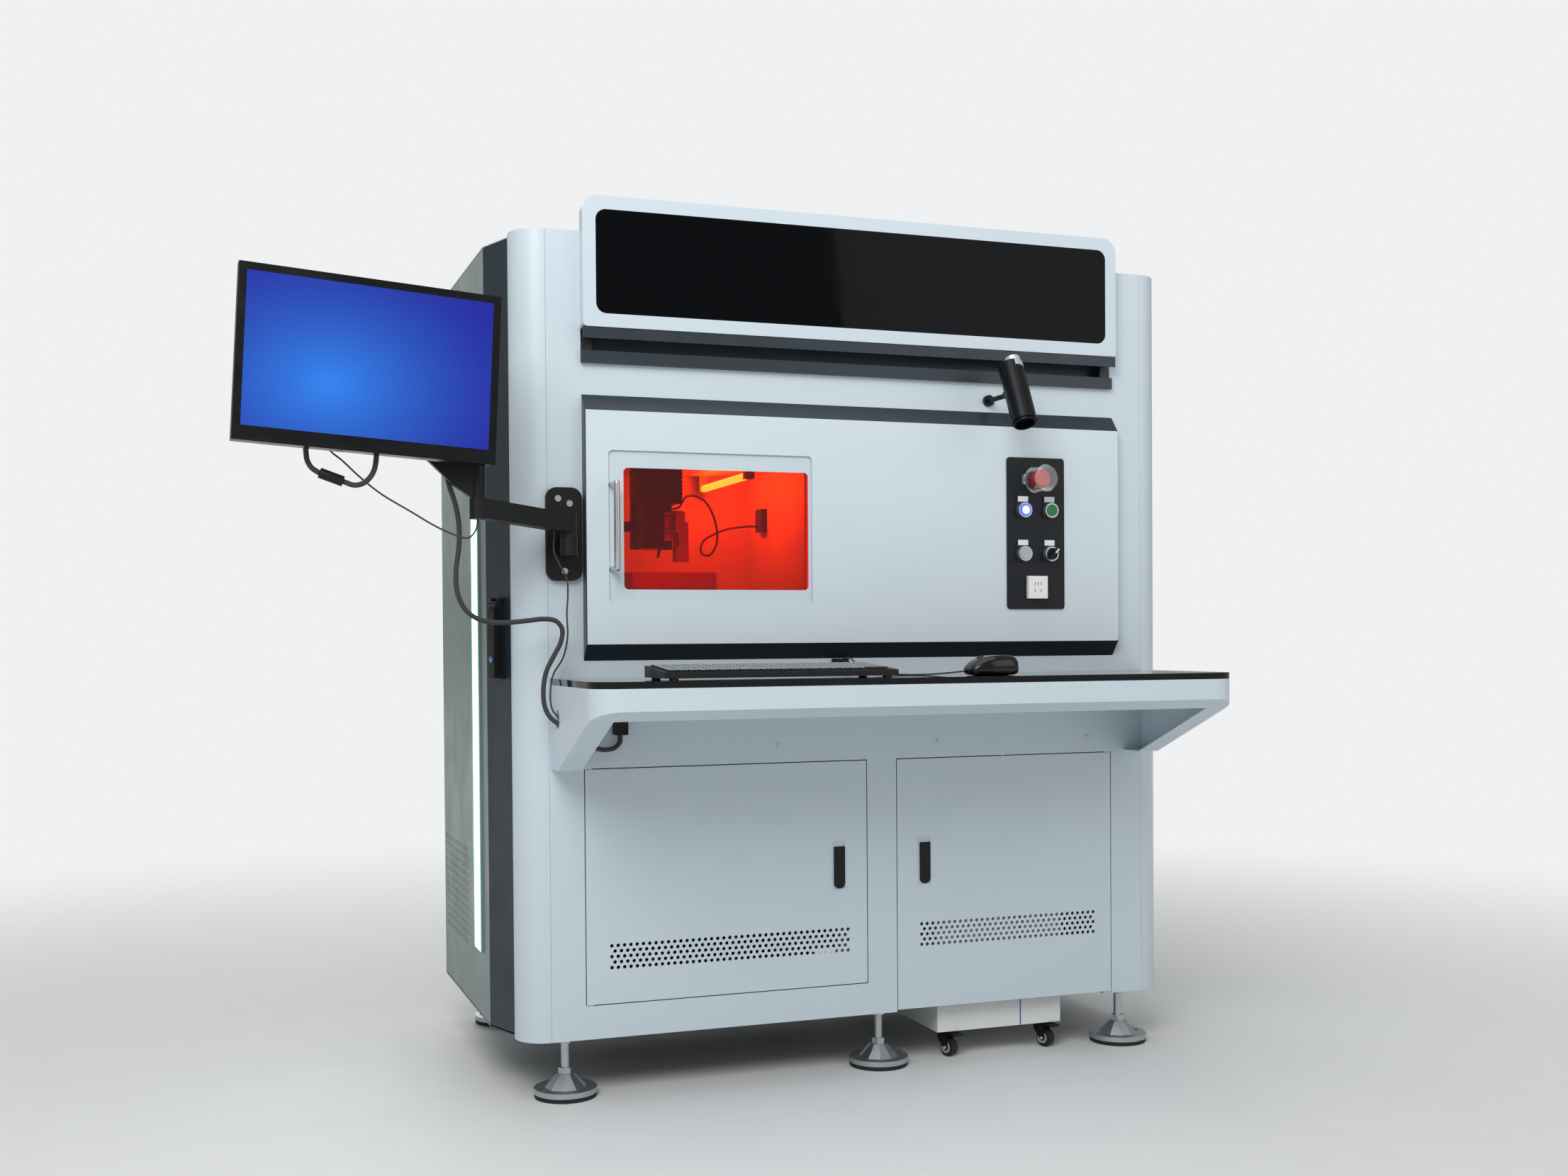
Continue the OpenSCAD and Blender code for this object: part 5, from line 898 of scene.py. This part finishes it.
class MACHINE_OT_cords(bpy.types.Operator):
    """Lay the seven cables with the ferrite, the desk outlet and the junction box"""
    bl_idname = "machine.cords"
    bl_label = "Cables"

    def execute(self, context):
        abs_black = moulded("cable_fitting_abs", "#0D0E10", **DULL)
        ferrite = self.ferrite(abs_black)
        outlet = self.outlet(abs_black)
        junction = self.junction(abs_black)
        lay_cord("monitor_main_cable", MAIN_ROUTE, MAIN_CORD_D,
                 bend=("cabinet", "arm_link", *(MAIN_ROUTE[k] for k in MAIN_BEND)))
        lay_cord("monitor_loop_cable", LOOP_ROUTE, MAIN_CORD_D, body="monitor")
        lay_cord("monitor_thin_cable", THIN_ROUTE, THIN_CORD_D,
                 bend=("arm_riser", "monitor", *(THIN_ROUTE[k] for k in THIN_BEND)))
        lay_cord("arm_drop_cable", DROP_ROUTE, THIN_CORD_D)
        lay_cord("keyboard_cord", KEYS_ROUTE, THIN_CORD_D)
        lay_cord("mouse_cord", MOUSE_ROUTE, THIN_CORD_D)
        lay_cord("cutting_head_cable", HEAD_ROUTE, HEAD_CORD_D)
        return {"FINISHED"}

    def ferrite(self, material):
        """The ferrite on the loop under the monitor"""
        clear_selection()
        a, b = (at(*LOOP_ROUTE[k]) for k in FERRITE_SPAN)
        span = b - a
        low, high = a + span * FERRITE_FREE_SHARE, b - span * FERRITE_FREE_SHARE
        bpy.ops.mesh.primitive_cylinder_add(vertices=32, radius=FERRITE_D / 2000, depth=(high - low).length,
                                            location=(low + high) / 2,
                                            rotation=span.to_track_quat("Z", "Y").to_euler())
        bevelled(0.0015)
        return settle("cable_ferrite", "monitor", material)

    def outlet(self, material):
        """The box above the desk where the keyboard's and mouse's cords end"""
        desk = KEYS_ROUTE[-1]
        width, height = OUTLET_BOX
        left = desk[0] - width / 3
        block((left, desk[1] + SEAT, desk[2] - height / 2), (left + width, 0, desk[2] + height / 2),
              lid=(0, 0, 1))
        return settle("desk_cord_outlet", "cabinet", material)

    def junction(self, material):
        """The box under the console where the main cable ends"""
        feed_x, feed_z = MAIN_ROUTE[-1][0], MAIN_ROUTE[-1][2] + SEAT
        width, depth, height = JUNCTION_BOX
        block((feed_x - width / 2, -SHEET - depth, feed_z), (feed_x + width / 2, -SHEET, feed_z + height),
              lid=(0, -1, 0))
        return settle("junction_box", "cabinet", material)


class MACHINE_OT_locks(bpy.types.Operator):
    """Fit the blue ring and the barrel on the lock of each swing handle"""
    bl_idname = "machine.locks"
    bl_label = "Lock rings"

    def execute(self, context):
        # The lock rings have no lamp: their faint glow is painted light
        blue = faint_glow_plastic("blue_lock_ring_painted_glow", "#2F6FD0", 0.15)
        nickel = moulded("lock_barrel_nickel", "#9A9DA0", (0.25, 0.35), 1.0, 0.01, metallic=1.0)
        run = Vector(LOCK_STRIP_RUN).normalized()
        for side, body in (("left", "left_swing_lever"), ("right", "right_swing_lever")):
            out = Vector((-run.y, run.x, 0.0))
            face = Vector(LOCK_STRIP_MIDDLE) - run * LOCK_FORWARD + out * LOCK_OUT
            if side == "right":
                face.x = 2 * CABINET_MIDDLE - face.x
                out.x = -out.x
            turn = out.to_track_quat("Z", "Y").to_euler()
            clear_selection()
            bpy.ops.mesh.primitive_torus_add(location=at(*face), rotation=turn, major_segments=40,
                                             minor_segments=10, major_radius=LOCK_RING_RADIUS / 1000,
                                             minor_radius=looks().ring_width / 2)
            settle(side + "_lock_ring", body, blue)
            clear_selection()
            bpy.ops.mesh.primitive_cylinder_add(vertices=32, radius=LOCK_BARREL_RADIUS / 1000,
                                                depth=LOCK_BARREL_HEIGHT / 1000, location=at(*face),
                                                rotation=turn)
            bevelled(0.0003, 2)
            settle(side + "_lock_barrel", body, nickel)
        return {"FINISHED"}


class MACHINE_OT_bellows(bpy.types.Operator):
    """Fold the bellows that hang in front of the vertical axis"""
    bl_idname = "machine.bellows"
    bl_label = "Bellows"

    def execute(self, context):
        low, high = BELLOWS
        pitch = (high[2] - low[2]) / BELLOWS_FOLDS
        folds = []
        for k in range(BELLOWS_FOLDS):
            z = low[2] + k * pitch
            block((low[0] - FOLD_OUT, low[1] - FOLD_OUT, z + pitch * FOLD_GAP_SHARE),
                  (high[0] + FOLD_OUT, high[1], z + pitch * (1 - FOLD_GAP_SHARE)),
                  edge=pitch * FOLD_EDGE_SHARE / 1000)
            folds.append(context.object)
        for fold in folds:
            fold.select_set(True)
        bpy.ops.object.join()
        settle("bellows_folds", "cabinet",
               moulded("bellows_fabric", "#0F1012", (0.5, 0.65), 1.2, 0.05, **DULL))
        return {"FINISHED"}


class MACHINE_OT_mouse(bpy.types.Operator):
    """Model the rounded mouse with its wheel"""
    bl_idname = "machine.mouse"
    bl_label = "Mouse"

    def execute(self, context):
        clear_selection()
        low, high = (Vector(corner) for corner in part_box("mouse"))
        size = high - low
        middle = (low + high) / 2
        bpy.ops.mesh.primitive_cube_add(size=1, location=middle, scale=size)
        bpy.ops.object.transform_apply(location=False, rotation=False, scale=True)
        shell = context.object
        bpy.ops.object.mode_set(mode="EDIT")
        bpy.ops.mesh.subdivide(number_cuts=2)
        pick_side((0, 0, 1))
        bpy.ops.transform.resize(value=MOUSE_TOP_SHARES)
        pick("VERT", lambda p: p.co.x < MOUSE_LOW_START_SHARE * size.x and p.co.z > 0)
        bpy.ops.transform.translate(value=(0, 0, MOUSE_FALL_SHARE * size.z))
        along, across = MOUSE_CORNER_START_SHARES
        pick("VERT", lambda p: abs(p.co.x) > along * size.x and abs(p.co.y) > across * size.y)
        bpy.ops.transform.resize(value=MOUSE_CORNER_SHARES)
        bpy.ops.object.mode_set(mode="OBJECT")
        smooth = shell.modifiers.new("round", "SUBSURF")
        smooth.levels = smooth.render_levels = 3
        bpy.ops.object.modifier_apply(modifier="round")
        shell.dimensions = size
        bpy.ops.object.transform_apply(location=False, rotation=False, scale=True)
        corners = [Vector(c) for c in shell.bound_box]
        shell.location = middle - (corners[0] + corners[6]) / 2
        settle("mouse_shell", "cabinet", mouse_plastic())
        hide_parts("mouse")
        place = Vector((low.x + MOUSE_WHEEL_FROM_END / 1000, middle.y, high.z + size.z))
        hit, top = shell.ray_cast(place, Vector((0, 0, -1)))[:2]
        if not hit:
            raise RuntimeError("the wheel finds no top of the mouse below it")
        clear_selection()
        bpy.ops.mesh.primitive_cylinder_add(vertices=36, radius=MOUSE_WHEEL_RADIUS / 1000,
                                            depth=MOUSE_WHEEL_WIDTH / 1000,
                                            location=(place.x, place.y, top.z - MOUSE_WHEEL_SUNK / 1000),
                                            rotation=(math.pi / 2, 0, 0))
        bevelled(0.0012, 3)
        settle("mouse_wheel", "cabinet", rubber("wheel_soft_rubber", "#3A3C3E"))
        return {"FINISHED"}


class MACHINE_OT_finishes(bpy.types.Operator):
    """Give every CAD node its finish"""
    bl_idname = "machine.finishes"
    bl_label = "Finishes"

    def execute(self, context):
        done = set()
        for material, nodes in finish_table().items():
            for name in nodes:
                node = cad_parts[name]
                node.data.materials.clear()
                node.data.materials.append(material)
                done.add(name)
        missing = sorted(set(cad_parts) - done)
        if missing:
            raise RuntimeError("no finish for " + ", ".join(missing))
        return {"FINISHED"}


class MACHINE_OT_stage(bpy.types.Operator):
    """Set the floor, the soft lights and the photograph's camera"""
    bl_idname = "machine.stage"
    bl_label = "Stage"

    def execute(self, context):
        scene = context.scene
        scene.view_settings.view_transform = "Standard"
        self.floor()
        self.lights()
        self.sky(scene)
        self.camera(scene)
        return {"FINISHED"}

    def floor(self):
        """A plain pale floor that fades into the backdrop"""
        clear_selection()
        bpy.ops.mesh.primitive_plane_add(size=FLOOR_SIZE, location=(0, 0, FLOOR_LEVEL))
        floor = bpy.context.object
        floor.name = "studio_floor"
        material, tree, place = blank("pale_studio_floor")
        shader = surface(tree, place, mottled(tree, place, linear("#DCDDDD"), 0.02, 900),
                         (0.5, 0.65), 8, 0.02)[0]
        far = fade(tree, measure(tree, "LENGTH", place), *FLOOR_FADE, interpolation_type="SMOOTHSTEP")
        glow = add(tree, "ShaderNodeEmission", None, {"Color": linear(BACKDROP), "Strength": BACKDROP_GLOW})
        both = add(tree, "ShaderNodeMixShader", {0: far, 1: shader.outputs[0], 2: glow.outputs[0]})
        end = next(node for node in tree.nodes if node.type == "OUTPUT_MATERIAL")
        tree.links.new(both.outputs[0], end.inputs["Surface"])
        floor.data.materials.append(material)

    def lights(self):
        """Four soft lights that look at the machine"""
        for name, place, size, power in SOFTBOXES:
            light = bpy.data.lights.new(name, "AREA")
            light.size = size
            light.energy = power
            lamp = bpy.data.objects.new(name, light)
            bpy.context.collection.objects.link(lamp)
            lamp.location = place
            aim = Vector(LIGHTS_AIM) - Vector(place)
            lamp.rotation_euler = aim.to_track_quat("-Z", "Y").to_euler()

    def sky(self, scene):
        """A pale backdrop that lights the machine only faintly"""
        world = bpy.data.worlds.new("studio")
        scene.world = world
        world.use_nodes = True
        tree = world.node_tree
        tree.nodes.clear()
        rays = add(tree, "ShaderNodeLightPath")
        seen = calc(tree, "MAXIMUM", rays.outputs["Is Camera Ray"], rays.outputs["Is Transmission Ray"])
        strength = fade(tree, seen, 0.0, 1.0, SKY_FILL, BACKDROP_GLOW)
        sky = add(tree, "ShaderNodeBackground", {"Strength": strength}, {"Color": linear(BACKDROP)})
        add(tree, "ShaderNodeOutputWorld", {"Surface": sky.outputs[0]})

    def camera(self, scene):
        """The photograph's camera"""
        width, height = PICTURE
        data = bpy.data.cameras.new("photo_camera")
        data.sensor_width = SENSOR
        data.sensor_fit = "HORIZONTAL"
        data.lens = FOCAL_PIXELS / width * SENSOR
        data.shift_x = (width / 2 - CENTRE_PIXEL[0]) / width
        data.shift_y = (CENTRE_PIXEL[1] - height / 2) / width
        data.clip_end = VIEW_DEPTH
        eye = bpy.data.objects.new("photo_camera", data)
        bpy.context.collection.objects.link(eye)
        turn = Matrix.Rotation(math.radians(-CAMERA_YAW), 4, "Z")
        tip = Matrix.Rotation(math.radians(90 - CAMERA_DOWN), 4, "X")
        roll = Matrix.Rotation(math.radians(CAMERA_ROLL), 4, "Z")
        eye.matrix_world = Matrix.Translation(at(*CAMERA_AT)) @ turn @ tip @ roll
        scene.camera = eye


class MACHINE_PT_panel(bpy.types.Panel):
    """The machine's looks and the steps that build them"""
    bl_label = "Laser Machine"
    bl_idname = "MACHINE_PT_panel"
    bl_space_type = "VIEW_3D"
    bl_region_type = "UI"
    bl_category = "Laser Machine"

    def draw(self, context):
        for name in MachineLooks.__annotations__:
            self.layout.prop(looks(), name)
        for step in STEPS:
            self.layout.operator(step.bl_idname)


STEPS = (MACHINE_OT_finishes, MACHINE_OT_cords, MACHINE_OT_locks, MACHINE_OT_bellows, MACHINE_OT_mouse,
         MACHINE_OT_stage)
CLASSES = (MachineLooks,) + STEPS + (MACHINE_PT_panel,)


def register():
    for entry in CLASSES:
        bpy.utils.register_class(entry)
    bpy.types.Scene.laser_machine = PointerProperty(type=MachineLooks)


def unregister():
    del bpy.types.Scene.laser_machine
    for entry in reversed(CLASSES):
        bpy.utils.unregister_class(entry)


def main():
    register()
    bpy.ops.machine.finishes()
    bpy.ops.machine.cords()
    bpy.ops.machine.locks()
    bpy.ops.machine.bellows()
    bpy.ops.machine.mouse()
    bpy.ops.machine.stage()


if __name__ == "__main__":
    main()
